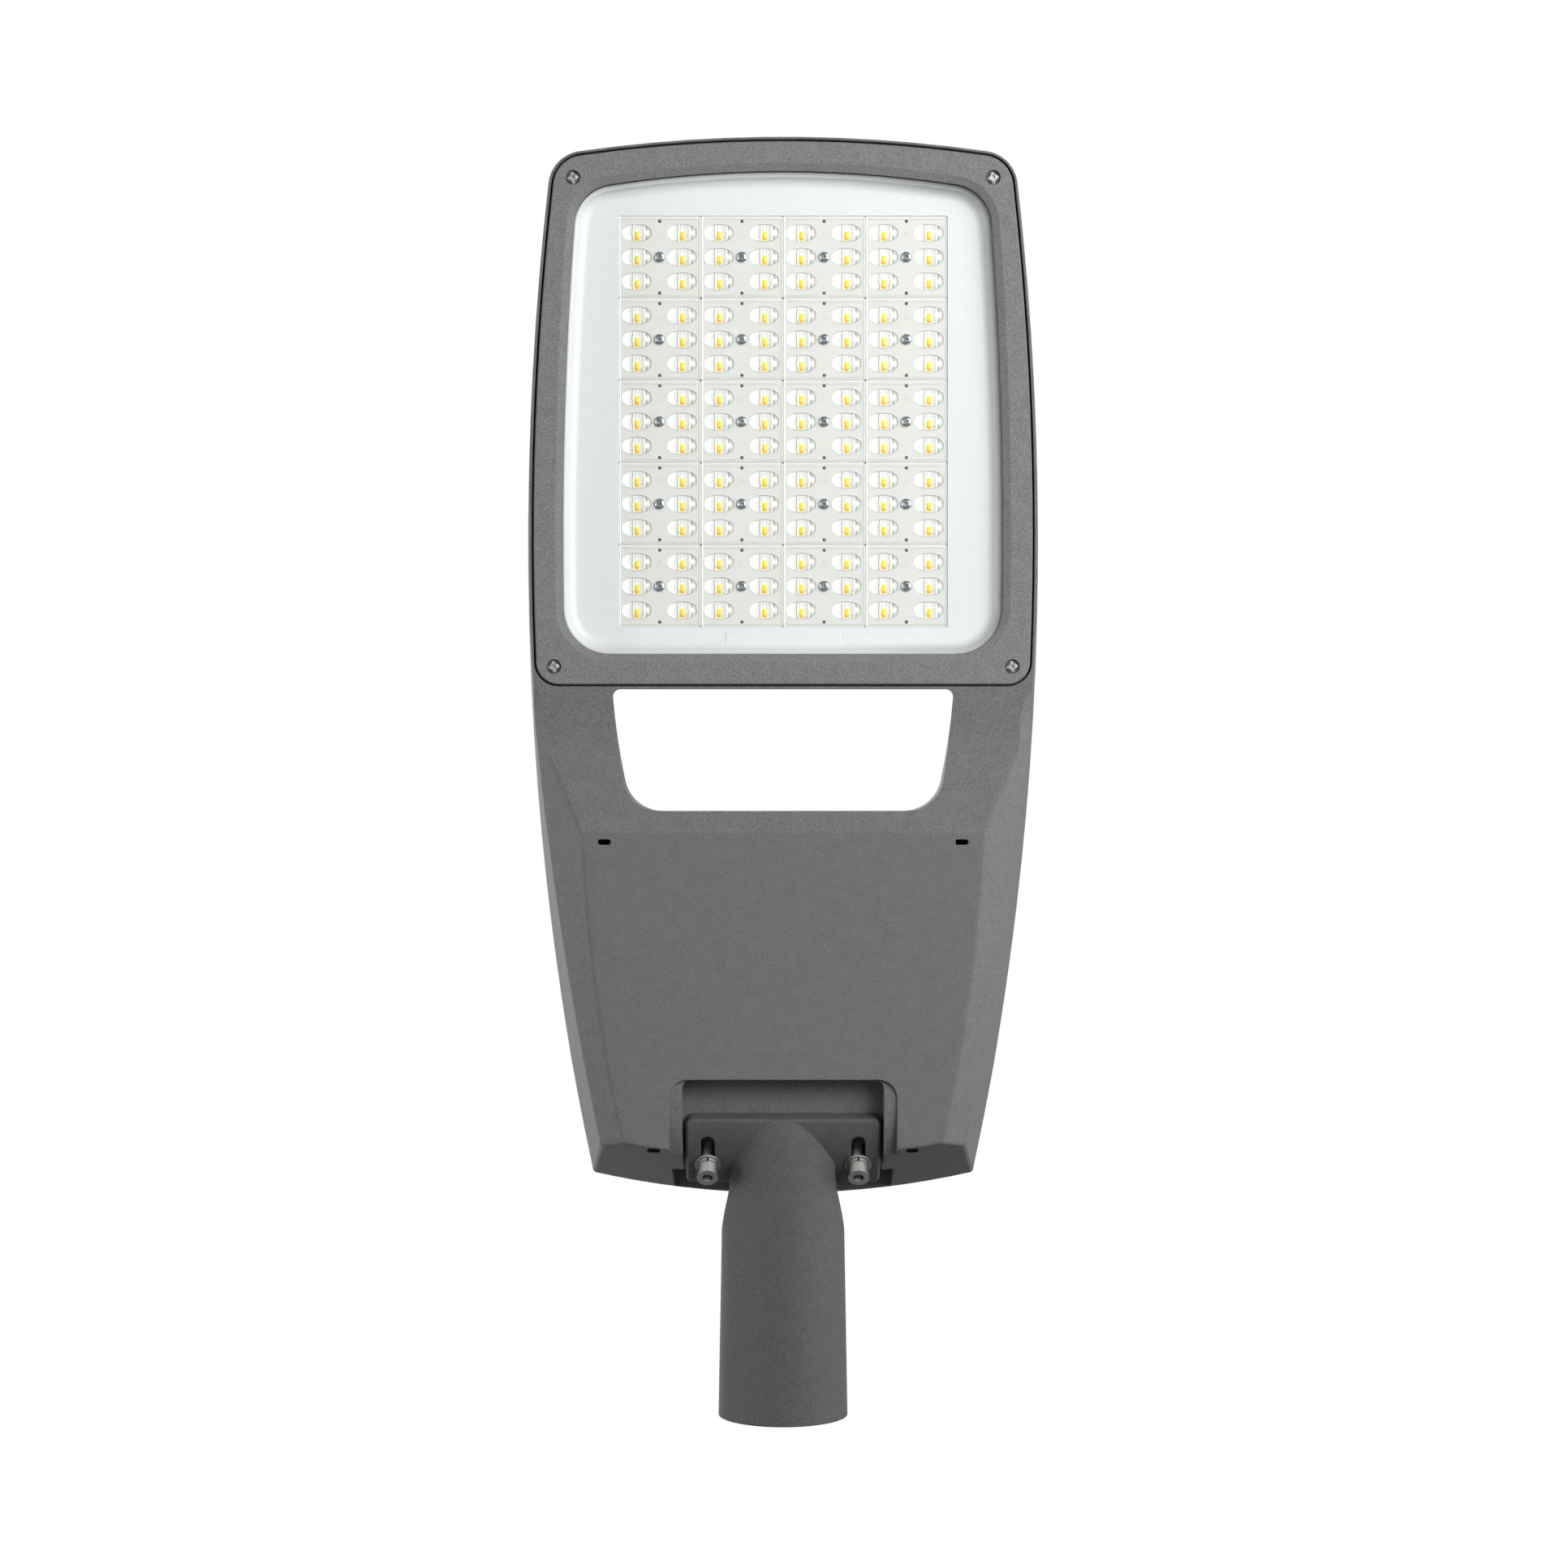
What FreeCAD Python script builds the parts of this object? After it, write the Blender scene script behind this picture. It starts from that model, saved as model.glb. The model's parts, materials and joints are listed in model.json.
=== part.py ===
import FreeCAD, Part
import math
import os

# LED street light head, seen as installed on a side-entry pole.
# Z is up and the light shines down, the nose points to -Y, the pole enters the spigot from +Y.
# The origin is the centre of the spigot bore at its mouth. All sizes are millimetres.

Vec = FreeCAD.Vector
X_AXIS = Vec(1, 0, 0)
Y_AXIS = Vec(0, 1, 0)
os.makedirs("parts", exist_ok=True)

# Spigot tube and bore
bore_radius = 32.5
bore_length = 105.0
mouth_wall = 7.0
tube_draft = 0.0173
tube_length = 113.0
wire_bore_radius = 18.0
set_screw_radius = 5.0
set_screw_ys = (-28.0, -78.0)
set_screw_length = 10.5
set_screw_hex_flats = 5.0
set_screw_hex_depth = 4.0
set_screw_boss_radius = 10.0
set_screw_boss_height = 4.0

# Tilt seat: the flange slides round this centre line, which runs along X
pivot_y = -195.4
pivot_z = 24.1
flange_outer_radius = 60.0
flange_thickness = 13.0
flange_half_width = 58.8
flange_front_deg = 11.0
flange_rear_deg = 63.5
flange_corner_radius = 4.5
flange_edge_bevel = 1.3
seat_gap = 0.3
neck_waist = 31.5
neck_waist_y = -156.0
neck_hollow_radius = 118.0
neck_hollow_length = 28.0
neck_swell_radius = 125.0
neck_nose_y = -160.0
neck_nose_radius = 100.0
tilt_range_deg = 15.0

# Clamp screws, M8, square to the seat
clamp_deg = 41.0
clamp_x = 45.5
clamp_shank_radius = 4.0
slot_clearance = 0.2
slot_end_clearance_deg = 0.3
flat_washer_radius = 8.0
flat_washer_thickness = 1.6
spring_washer_radius = 7.0
spring_washer_thickness = 2.0
spring_washer_split = 1.2
clamp_head_radius = 6.5
clamp_head_height = 8.0
clamp_hex_flats = 6.0
clamp_hex_depth = 4.0
clamp_screw_reach = 36.0
thread_clearance = 0.1
washer_gap = 0.3

# Housing, seen from below: the side walls are two drafted arcs each, the front and rear one arc each
plan_ref_z = 60.0
lamp_side_x = 162.0
lamp_side_apex_y = -537.5
lamp_side_radius = 1915.0
lamp_side_draft = 0.10
box_side_x = 170.7
box_side_apex_y = -585.0
box_side_radius = 2000.0
box_side_draft = 0.19
nose_y = -786.4
nose_radius = 888.0
nose_corner_radius = 22.0
tail_y = -127.7
tail_radius = 656.0
tail_draft = 0.344
tail_corner_bevel = 1.2

# Housing, seen from the side
frame_face_z = -16.0
box_floor_z = -42.0
ramp_top_y = -407.7
ramp_foot_y = -356.4
ramp_blend_radius = 46.0
roof_nose_z = 19.0
roof_tail_z = 67.0
roof_radius = 700.0
roof_edge_bevel = 4.0

# Bevel along the flanks of the driver box
bevel_x = 121.5
bevel_apex_y = -400.0
bevel_radius = 1040.0
bevel_slope = 0.88
bevel_runout_y = -421.0
bevel_runout_radius = 63.0

# Window between the lamp and the driver box
window_front_y = -443.2
window_rear_y = -369.2
window_front_half = 103.5
window_rear_half = 93.0
window_side_bulge = 1.7
window_front_radius = 4.5
window_rear_radius = 23.5
window_front_lean = 1.0
window_side_lean = 1.9
window_straight_z = 15.0
window_top_slope = 0.12

# Frame and glass
frame_gap = 1.2
lip_width = 1.5
frame_thickness = 8.0
frame_rear_y = -446.2
frame_front_inset = 2.5
frame_front_corner = 19.0
frame_rear_corner = 13.8
frame_edge_bevel = 0.7
opening_side_x = 133.8
opening_apex_y = -536.6
opening_side_radius = 2600.0
opening_border = 28.1
opening_front_radius = 690.0
opening_rear_y = -464.9
opening_front_corner = 25.0
opening_rear_corner = 28.0
opening_bevel_width = 4.7
opening_bevel_depth = 3.0
glass_thickness = 4.0
glass_overlap = 6.0
glass_clearance = 0.2
seal_thickness = 1.0
gasket_inset = 7.2
gasket_width = 3.0
gasket_height = 2.4
frame_screw_front_x = 127.7
frame_screw_front_inset = 32.2
frame_screw_rear_x = 139.3
frame_screw_rear_inset = 10.8
frame_screw_radius = 2.0
frame_screw_head_radius = 3.6
frame_screw_head_height = 2.2
frame_screw_sink = 2.6
frame_screw_sink_radius = 4.45
frame_screw_length = 15.0
frame_screw_socket = 1.2

# LED field
chamber_margin = 0.5
chamber_floor_z = 0.6
module_pitch = 50.3
module_size = 49.5
module_columns = 4
field_border = 16.0
field_shift = 4.3
board_thickness = 1.6
board_margin = 0.4
module_thickness = 2.0
module_back_wall = 1.1
module_rim = 1.6
module_rib = 4.0
lens_dx = 13.85
lens_pitch = 14.8
lens_length = 18.9
lens_width = 11.0
lens_facets = 6
lens_top_scale = 0.55
lens_height = 4.2
chip_size = 3.4
chip_height = 0.8
lens_screw_radius = 1.5
lens_screw_hole = 1.7
lens_screw_head_radius = 3.1
lens_screw_head_height = 2.0
lens_screw_length = 6.4
tray_skirt = 1.4
tray_fit = 0.3
tray_rim_gap = 0.2
tray_floor_drop = 3.2
tray_thickness = 1.0
tray_rim_width = 7.0
tray_window_gap = 0.5

# Cooling fins on the sky side
fin_pitch = 11.0
fin_groove = 7.0
fin_count = 21
fin_front_inset = 23.3
fin_rear_inset = 3.1
fin_floor = 5.0

# Driver box inside
box_wall = 4.0
cavity_front_y = -353.0
cavity_rear_y = -216.0
cavity_front_half = 111.0
cavity_rear_half = 92.0
cavity_corner = 8.0
seat_shell = 8.0
seat_hollow_half = 33.0
wire_slot_half = 12.0
wire_slot_from_deg = 48.0
wire_slot_to_deg = 92.0
lid_margin = 7.0
lid_ear = 7.0
lid_gap = 0.6
lid_thickness = 4.0
lid_gasket_inset = 1.5
lid_gasket_width = 3.0
lid_gasket_height = 2.0
lid_screw_inset = 6.0
lid_screw_setback = 10.0
lid_screw_radius = 2.0
lid_screw_head_radius = 3.8
lid_screw_head_height = 2.4
lid_screw_sink_radius = 4.3
lid_screw_sink = 0.6
lid_screw_length = 14.0
duct_radius = 5.0
duct_front = (118.0, -478.0, -1.0)
duct_rear = (99.0, -345.0, 8.0)
grommet_hole_radius = 2.6

# Recess round the spigot
recess_half = 68.4
recess_front_y = -208.5
recess_corner = 11.0
pocket_half = 60.6
pocket_corner = 6.0
ledge_radius = 64.5
ledge_end_y = -148.7
recess_roof_z = 59.0

# Drain slots in the driver box
drain_front = (107.1, -350.9)
drain_rear = (77.5, -165.6)
drain_length = 7.7
drain_width = 3.3
drain_depth = 16.0

# Electrical parts
bracket_thickness = 2.0
bracket_size = (176.0, 74.0)
bracket_centre_y = -302.0
driver_size = (150.0, 60.0, 36.0)
driver_lug = 9.0
driver_lug_height = 3.0
driver_screw_radius = 2.0
driver_screw_head_radius = 3.8
driver_screw_head_height = 2.6
terminal_size = (46.0, 18.0, 20.0)
terminal_y = -238.0
terminal_ways = 5
surge_size = (34.0, 30.0, 24.0)
surge_x = 62.0
surge_y = -240.0

# Sizes that follow from the ones above
opening_front_y = nose_y + opening_border
frame_screw_front = (frame_screw_front_x, nose_y + frame_screw_front_inset)
frame_screw_rear = (frame_screw_rear_x, frame_rear_y - frame_screw_rear_inset)
fin_front_y = opening_front_y + fin_front_inset
fin_rear_y = opening_rear_y - fin_rear_inset
module_rows = int((opening_rear_y - opening_front_y - 2 * field_border) / module_pitch)
field_centre_y = (opening_front_y + opening_rear_y) / 2 + field_shift
mouth_radius = bore_radius + mouth_wall
neck_radius = mouth_radius - tube_draft * tube_length
seat_radius = flange_outer_radius - flange_thickness - seat_gap
flange_inner_radius = flange_outer_radius - flange_thickness
slot_half = clamp_shank_radius + slot_clearance
frame_back_z = frame_face_z + frame_thickness
glass_face_z = frame_face_z + opening_bevel_depth
glass_back_z = glass_face_z + glass_thickness
board_back_z = chamber_floor_z
board_face_z = board_back_z - board_thickness
module_face_z = board_face_z - module_thickness
field_width = module_columns * module_pitch
field_length = module_rows * module_pitch
ramp_slope = (frame_face_z - box_floor_z) / (ramp_foot_y - ramp_top_y)


def block(x0, x1, y0, y1, z0, z1):
    return Part.makeBox(x1 - x0, y1 - y0, z1 - z0, Vec(x0, y0, z0))


def upright_cone(cx, cy, radius, at_z, slope, z0, z1):
    # Round frustum about a vertical axis whose radius is given at height at_z.
    low = radius + slope * (z0 - at_z)
    high = radius + slope * (z1 - at_z)
    if abs(low - high) < 1e-9:
        return Part.makeCylinder(low, z1 - z0, Vec(cx, cy, z0))
    return Part.makeCone(low, high, z1 - z0, Vec(cx, cy, z0))


def side_extrusion(points, half):
    # Prism along X from a list of (y, z) points or ready edges.
    edges = []
    for start, end in zip(points, points[1:] + points[:1]):
        edges.append(Part.makeLine(Vec(-half, *start), Vec(-half, *end)))
    return Part.Face(Part.Wire(edges)).extrude(Vec(2 * half, 0, 0))


def plan_prism(points, z0, z1):
    # Prism along Z from a list of (x, y) corners.
    corners = [Vec(x, y, z0) for x, y in points]
    return Part.Face(Part.makePolygon(corners + corners[:1])).extrude(Vec(0, 0, z1 - z0))


def fillet(shape, radius, wanted):
    edges = [edge for edge in shape.Edges if wanted(edge)]
    return shape.makeFillet(radius, edges) if edges else shape


def bevel(shape, width, wanted):
    edges = [edge for edge in shape.Edges if wanted(edge)]
    return shape.makeChamfer(width, edges) if edges else shape


def is_upright(edge, lean=0.5):
    ends = [vertex.Point for vertex in edge.Vertexes]
    if len(ends) < 2:
        return False
    rise = abs(ends[1].z - ends[0].z)
    return math.hypot(ends[1].x - ends[0].x, ends[1].y - ends[0].y) < lean * rise


def mid(edge):
    return edge.valueAt((edge.FirstParameter + edge.LastParameter) / 2)


def solid_of(shape):
    return shape.Solids[0] if len(shape.Solids) == 1 else shape


def group(shapes):
    return Part.makeCompound([solid_of(shape) for shape in shapes])


def opening_block(grow, z0, z1):
    # Prism on the lamp opening's outline, moved out by grow.
    side_radius = opening_side_radius + grow
    offset = opening_side_x - opening_side_radius
    right = Part.makeCylinder(side_radius, z1 - z0, Vec(offset, opening_apex_y, z0))
    left = Part.makeCylinder(side_radius, z1 - z0, Vec(-offset, opening_apex_y, z0))
    front_radius = opening_front_radius + grow
    front_centre = opening_front_y + opening_front_radius
    front = Part.makeCylinder(front_radius, z1 - z0, Vec(0, front_centre, z0))
    far = opening_front_y - 3 * opening_bevel_width - abs(grow)
    reach = opening_side_x + 3 * glass_overlap
    slab = block(-reach, reach, far, opening_rear_y + grow, z0, z1)
    shape = right.common(left).common(front).common(slab)
    middle = (opening_front_y + opening_rear_y) / 2
    shape = fillet(shape, opening_front_corner + grow, lambda e: is_upright(e) and mid(e).y < middle)
    return fillet(shape, opening_rear_corner + grow, lambda e: is_upright(e) and mid(e).y > middle)


def opening_taper(low_grow, high_grow, z0, z1):
    # Tapered prism on the same outline, moved out by low_grow at z0 and by high_grow at z1.
    wires = [floor_wire(opening_block(grow, z, z + 1)) for grow, z in ((low_grow, z0), (high_grow, z1))]
    return Part.makeLoft(wires, True, True)


def floor_wire(shape):
    # Outline of the lowest face.
    return min(shape.Faces, key=lambda face: face.CenterOfMass.z).OuterWire


def wall_cones(side_x, apex_y, radius, draft, z0, z1, grow=0.0):
    offset = side_x - radius
    right = upright_cone(offset, apex_y, radius + grow, plan_ref_z, draft, z0, z1)
    left = upright_cone(-offset, apex_y, radius + grow, plan_ref_z, draft, z0, z1)
    return right.common(left)


def frame_block(grow, z0, z1):
    # Straight prism on the outline of the frame, which follows the housing's lip.
    level = frame_face_z
    inset = lip_width + frame_gap - grow
    radius = lamp_side_radius + lamp_side_draft * (level - plan_ref_z) - inset
    offset = lamp_side_x - lamp_side_radius
    right = Part.makeCylinder(radius, z1 - z0, Vec(offset, lamp_side_apex_y, z0))
    left = Part.makeCylinder(radius, z1 - z0, Vec(-offset, lamp_side_apex_y, z0))
    front_radius = nose_radius + lamp_side_draft * (level - plan_ref_z) - frame_front_inset + grow
    front = Part.makeCylinder(front_radius, z1 - z0, Vec(0, nose_y + nose_radius, z0))
    slab = block(-lamp_side_x, lamp_side_x, nose_y, frame_rear_y + grow, z0, z1)
    shape = right.common(left).common(front).common(slab)
    middle = (nose_y + frame_rear_y) / 2
    shape = fillet(shape, frame_front_corner + grow, lambda e: is_upright(e) and mid(e).y < middle)
    return fillet(shape, frame_rear_corner + grow, lambda e: is_upright(e) and mid(e).y > middle)


def roof_axes():
    # The roof is a large cylinder whose top line rises from the nose to the tail.
    angle = math.atan2(roof_tail_z - roof_nose_z, tail_y - nose_y)
    along = Vec(0, math.cos(angle), math.sin(angle))
    normal = Vec(0, -math.sin(angle), math.cos(angle))
    return along, normal, Vec(0, tail_y, roof_tail_z) - normal * roof_radius


def roof(drop):
    # Everything under the roof, lowered by drop.
    along, _, centre = roof_axes()
    overrun = 100.0
    length = tail_y - nose_y + 3 * overrun
    return Part.makeCylinder(roof_radius - drop, length, centre + along * overrun, along * -1)


def roof_height(x, y):
    # Height of the roof above a plan point.
    along, normal, centre = roof_axes()
    rise = math.sqrt(roof_radius ** 2 - x ** 2)
    share = (y - centre.y - rise * normal.y) / along.y
    return centre.z + rise * normal.z + share * along.z


def seat_point(radius, deg):
    # Point in the middle plane at a radius from the tilt axis, deg from straight down towards the tail.
    angle = math.radians(deg)
    return Vec(0, pivot_y + radius * math.sin(angle), pivot_z - radius * math.cos(angle))


def seat_direction(deg):
    angle = math.radians(deg)
    return Vec(0, math.sin(angle), -math.cos(angle))


def seat_cylinder(radius, half):
    return Part.makeCylinder(radius, 2 * half, Vec(-half, pivot_y, pivot_z), X_AXIS)


def seat_sector(inner, outer, x0, x1, from_deg, to_deg):
    # Part of a ring about the tilt axis.
    a = seat_point(inner, from_deg)
    b = seat_point(outer, from_deg)
    corners = [Vec(x0, a.y, a.z), Vec(x1, a.y, a.z), Vec(x1, b.y, b.z), Vec(x0, b.y, b.z)]
    face = Part.Face(Part.makePolygon(corners + corners[:1]))
    return face.revolve(Vec(0, pivot_y, pivot_z), X_AXIS, to_deg - from_deg)


def radial_cylinder(x, deg, radius, inner, outer):
    start = seat_point(inner, deg)
    start.x = x
    return Part.makeCylinder(radius, outer - inner, start, seat_direction(deg))


def radial_hexagon(x, deg, flats, inner, outer):
    direction = seat_direction(deg)
    centre = seat_point(inner, deg)
    centre.x = x
    across = flats / math.sqrt(3)
    up = X_AXIS.cross(direction)
    corners = []
    for k in range(6):
        turn = math.radians(60 * k)
        corners.append(centre + X_AXIS * (across * math.cos(turn)) + up * (across * math.sin(turn)))
    return Part.Face(Part.makePolygon(corners + corners[:1])).extrude(direction * (outer - inner))


def upright_hexagon(x, y, flats, z0, z1):
    across = flats / math.sqrt(3)
    corners = []
    for k in range(6):
        turn = math.radians(60 * k)
        corners.append((x + across * math.cos(turn), y + across * math.sin(turn)))
    return plan_prism(corners, z0, z1)


def pin(x, y, radius, z0, z1):
    # Eight-sided upright pin, for the small screws and holes that repeat.
    corners = []
    for k in range(8):
        turn = math.radians(45 * k + 22.5)
        corners.append((x + radius * math.cos(turn), y + radius * math.sin(turn)))
    return plan_prism(corners, z0, z1)


def underside_profile():
    # Side view of what lies above the frame face, the ramp and the floor of the driver box.
    ramp_angle = math.atan(ramp_slope)
    reach = ramp_blend_radius * math.tan(ramp_angle / 2)
    start = Vec(0, ramp_top_y - reach, frame_face_z)
    end = Vec(0, ramp_top_y + reach * math.cos(ramp_angle), frame_face_z - reach * math.sin(ramp_angle))
    centre_z = frame_face_z - ramp_blend_radius
    half = ramp_angle / 2
    middle_y = start.y + ramp_blend_radius * math.sin(half)
    middle = Vec(0, middle_y, centre_z + ramp_blend_radius * math.cos(half))
    front = Vec(0, nose_y - 20, frame_face_z)
    foot = Vec(0, ramp_foot_y, box_floor_z)
    back = Vec(0, tail_y + 20, box_floor_z)
    top_back = Vec(0, tail_y + 20, 90)
    top_front = Vec(0, nose_y - 20, 90)
    edges = [Part.makeLine(front, start), Part.Arc(start, middle, end).toShape()]
    for a, b in ((end, foot), (foot, back), (back, top_back), (top_back, top_front), (top_front, front)):
        edges.append(Part.makeLine(a, b))
    half_width = lamp_side_x + 30
    profile = Part.Face(Part.Wire(edges))
    profile.translate(Vec(-half_width, 0, 0))
    return profile.extrude(Vec(2 * half_width, 0, 0))


def bevel_cutter(side):
    # Cuts the sloping bevel off one flank of the driver box, with its rounded run-out in front.
    z0 = box_floor_z - 10
    z1 = frame_face_z + 22
    centre_x = side * (bevel_x - bevel_radius)
    kept = upright_cone(centre_x, bevel_apex_y, bevel_radius, box_floor_z, bevel_slope, z0, z1)
    x0, x1 = sorted((side * 60.0, side * (lamp_side_x + 60)))
    strip = block(x0, x1, bevel_runout_y, tail_y + 60, z0, z1).cut(kept)
    angle = math.asin((bevel_runout_y - bevel_apex_y) / bevel_radius)
    reach = bevel_radius + bevel_runout_radius
    runout_x = centre_x + side * reach * math.cos(angle)
    runout_y = bevel_apex_y + reach * math.sin(angle)
    radius = bevel_runout_radius
    runout = upright_cone(runout_x, runout_y, radius, box_floor_z, -bevel_slope, z0, z1)
    return strip.fuse(runout)


def window_outline(z, lean, grow):
    # Outline with bowed sides; lean is 0 at the frame's face and 1 where the walls turn straight.
    front = window_front_half + lean * window_side_lean + grow
    rear = window_rear_half + grow
    y0 = window_front_y - lean * window_front_lean - grow
    y1 = window_rear_y + grow
    bow = (front + rear) / 2 + window_side_bulge
    middle = (y0 + y1) / 2
    edges = [
        Part.makeLine(Vec(-front, y0, z), Vec(front, y0, z)),
        Part.Arc(Vec(front, y0, z), Vec(bow, middle, z), Vec(rear, y1, z)).toShape(),
        Part.makeLine(Vec(rear, y1, z), Vec(-rear, y1, z)),
        Part.Arc(Vec(-rear, y1, z), Vec(-bow, middle, z), Vec(-front, y0, z)).toShape(),
    ]
    slab = Part.Face(Part.Wire(edges)).extrude(Vec(0, 0, 1))
    slab = fillet(slab, window_front_radius, lambda e: is_upright(e) and mid(e).y < middle)
    slab = fillet(slab, window_rear_radius, lambda e: is_upright(e) and mid(e).y > middle)
    return floor_wire(slab)


def window_cutters():
    top = roof_tail_z + 20
    flare = window_top_slope * (top - window_straight_z)
    wires = [
        window_outline(box_floor_z - 20, 0, 0),
        window_outline(frame_face_z, 0, 0),
        window_outline(window_straight_z, 1, 0),
        window_outline(top, 1, flare),
    ]
    return [Part.makeLoft([low, high], True, True) for low, high in zip(wires, wires[1:])]


def cavity_block(grow, z0, z1, ear=0.0):
    # Straight prism on the outline of the driver cavity, moved out by grow and by ear more at the sides.
    front = cavity_front_half + grow + ear
    rear = cavity_rear_half + grow + ear
    y0 = cavity_front_y - grow
    y1 = cavity_rear_y + grow
    shape = plan_prism([(-front, y0), (front, y0), (rear, y1), (-rear, y1)], z0, z1)
    return fillet(shape, cavity_corner + grow, is_upright)


def recess_cutter():
    top = recess_roof_z
    low = box_floor_z - 10
    back = tail_y + 40
    side_blocks = block(-recess_half, recess_half, recess_front_y, back, low, top)
    side_blocks = fillet(side_blocks, recess_corner, lambda e: is_upright(e) and mid(e).y < pivot_y)
    ledges = side_blocks.cut(seat_cylinder(ledge_radius, recess_half + 5))
    ledges = ledges.common(block(-200, 200, recess_front_y, back, low, pivot_z))
    pocket = block(-pocket_half, pocket_half, recess_front_y, back, low, top)
    pocket = fillet(pocket, pocket_corner, lambda e: is_upright(e) and mid(e).y < pivot_y)
    pocket = pocket.cut(seat_cylinder(seat_radius, pocket_half + 5))
    over_seat = block(-pocket_half, pocket_half, recess_front_y, pivot_y, pivot_z, top)
    pocket = pocket.cut(over_seat)
    hollow = block(-recess_half, recess_half, ledge_end_y, back, low, top)
    hollow = hollow.cut(seat_cylinder(seat_radius, recess_half + 5))
    return ledges.fuse(pocket).fuse(hollow)


def lid_half(y):
    # Half width of the space for the lid at y.
    share = (y - cavity_front_y + lid_margin) / (cavity_rear_y - cavity_front_y + 2 * lid_margin)
    return cavity_front_half + share * (cavity_rear_half - cavity_front_half) + lid_margin + lid_ear


def lid_screw_places():
    first = cavity_front_y + lid_screw_setback
    last = cavity_rear_y - lid_screw_setback
    rows = [first, (first + last) / 2, last]
    return [(side * (lid_half(y) - lid_screw_inset), y) for y in rows for side in (-1, 1)]


def fin_grooves():
    grooves = []
    for k in range(fin_count):
        x = (k - (fin_count - 1) / 2) * fin_pitch
        half = fin_groove / 2
        arc_drop = (opening_front_radius - math.sqrt(opening_front_radius ** 2 - x * x))
        y0 = fin_front_y + arc_drop
        floor = chamber_floor_z + fin_floor
        grooves.append(block(x - half, x + half, y0, fin_rear_y, floor, roof_tail_z + 20))
    return grooves


def frame_screw_places():
    places = []
    for x, y in (frame_screw_front, frame_screw_rear):
        places += [(-x, y), (x, y)]
    return places


def clamp_places():
    return (-clamp_x, clamp_x)


def build_housing_body():
    z0 = box_floor_z - 5
    z1 = roof_tail_z + 15
    body = wall_cones(lamp_side_x, lamp_side_apex_y, lamp_side_radius, lamp_side_draft, z0, z1)
    nose_centre = nose_y + nose_radius
    nose = upright_cone(0, nose_centre, nose_radius, plan_ref_z, lamp_side_draft, z0, z1)
    tail = upright_cone(0, tail_y - tail_radius, tail_radius, plan_ref_z, tail_draft, z0, z1)
    body = body.common(nose).common(tail)
    body = fillet(body, nose_corner_radius, lambda e: is_upright(e) and mid(e).y < nose_y + 60)
    body = body.common(roof(0.0))
    body = bevel(body, roof_edge_bevel, is_roof_edge)
    box_walls = wall_cones(box_side_x, box_side_apex_y, box_side_radius, box_side_draft, z0, z1)
    box_walls = box_walls.common(tail)
    box_walls = bevel(box_walls, tail_corner_bevel, is_tail_corner)
    return body.common(box_walls)


def is_tail_corner(edge):
    return is_upright(edge) and mid(edge).y > tail_y - 60


def is_roof_edge(edge):
    # The fins and the window are cut later, so the only edges up here run round the roof.
    return mid(edge).z > frame_face_z and not is_upright(edge)


def build_housing():
    body = build_housing_body()
    body = body.common(underside_profile())
    body = body.cut(bevel_cutter(1)).cut(bevel_cutter(-1))
    for cutter in window_cutters():
        body = body.cut(cutter)
    body = body.cut(frame_block(frame_gap, frame_face_z - 5, frame_back_z))
    body = body.cut(opening_block(chamber_margin, frame_back_z - 1, chamber_floor_z))
    groove = opening_block(gasket_inset + gasket_width, frame_back_z - 1, frame_back_z + gasket_height)
    groove = groove.cut(opening_block(gasket_inset, frame_back_z - 2, frame_back_z + gasket_height + 1))
    body = body.cut(groove)
    for slot in fin_grooves():
        body = body.cut(slot)
    floor = box_floor_z + box_wall
    body = body.cut(cavity_block(0.0, floor, roof_tail_z + 20))
    lid_space = cavity_block(lid_margin, floor, roof_tail_z + 20, lid_ear).cut(roof(lid_thickness))
    body = body.cut(lid_space)
    body = body.cut(lid_gasket_ring())
    hollow = seat_cylinder(seat_radius - seat_shell, seat_hollow_half)
    hollow = hollow.common(block(-200, 200, cavity_rear_y - 20, 0, floor, recess_roof_z - 4))
    body = body.cut(recess_cutter()).cut(hollow)
    wire_slot = seat_sector(seat_radius - seat_shell - 3, seat_radius + 5, -wire_slot_half,
                            wire_slot_half, wire_slot_from_deg, wire_slot_to_deg)
    body = body.cut(wire_slot)
    for x, y in frame_screw_places():
        radius = frame_screw_radius + thread_clearance
        body = body.cut(pin(x, y, radius, frame_back_z - 1, frame_back_z + 15))
    for x in clamp_places():
        radius = clamp_shank_radius + thread_clearance
        inner = flange_outer_radius - clamp_screw_reach - 1
        body = body.cut(radial_cylinder(x, clamp_deg, radius, inner, flange_outer_radius))
    for x, y in lid_screw_places():
        radius = lid_screw_radius + thread_clearance
        seat = lid_screw_seat(x, y)
        body = body.cut(pin(x, y, radius, seat - lid_screw_length - 1, seat + 1))
    for x, y in module_centres():
        radius = lens_screw_radius + thread_clearance
        body = body.cut(pin(x, y, radius, chamber_floor_z - 1, chamber_floor_z + 3.2))
    for side in (-1, 1):
        for x, y in (drain_front, drain_rear):
            slot = block(side * x - drain_length / 2, side * x + drain_length / 2,
                         y - drain_width / 2, y + drain_width / 2, box_floor_z - 5,
                         box_floor_z + drain_depth)
            body = body.cut(fillet(slot, drain_width * 0.4, is_upright))
    duct_start, duct_run = duct_line()
    body = body.cut(Part.makeCylinder(duct_radius, duct_run.Length, duct_start, duct_run))
    return body


def duct_line():
    start = Vec(-duct_front[0], duct_front[1], duct_front[2])
    end = Vec(-duct_rear[0], duct_rear[1], duct_rear[2])
    return start, end - start


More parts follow.
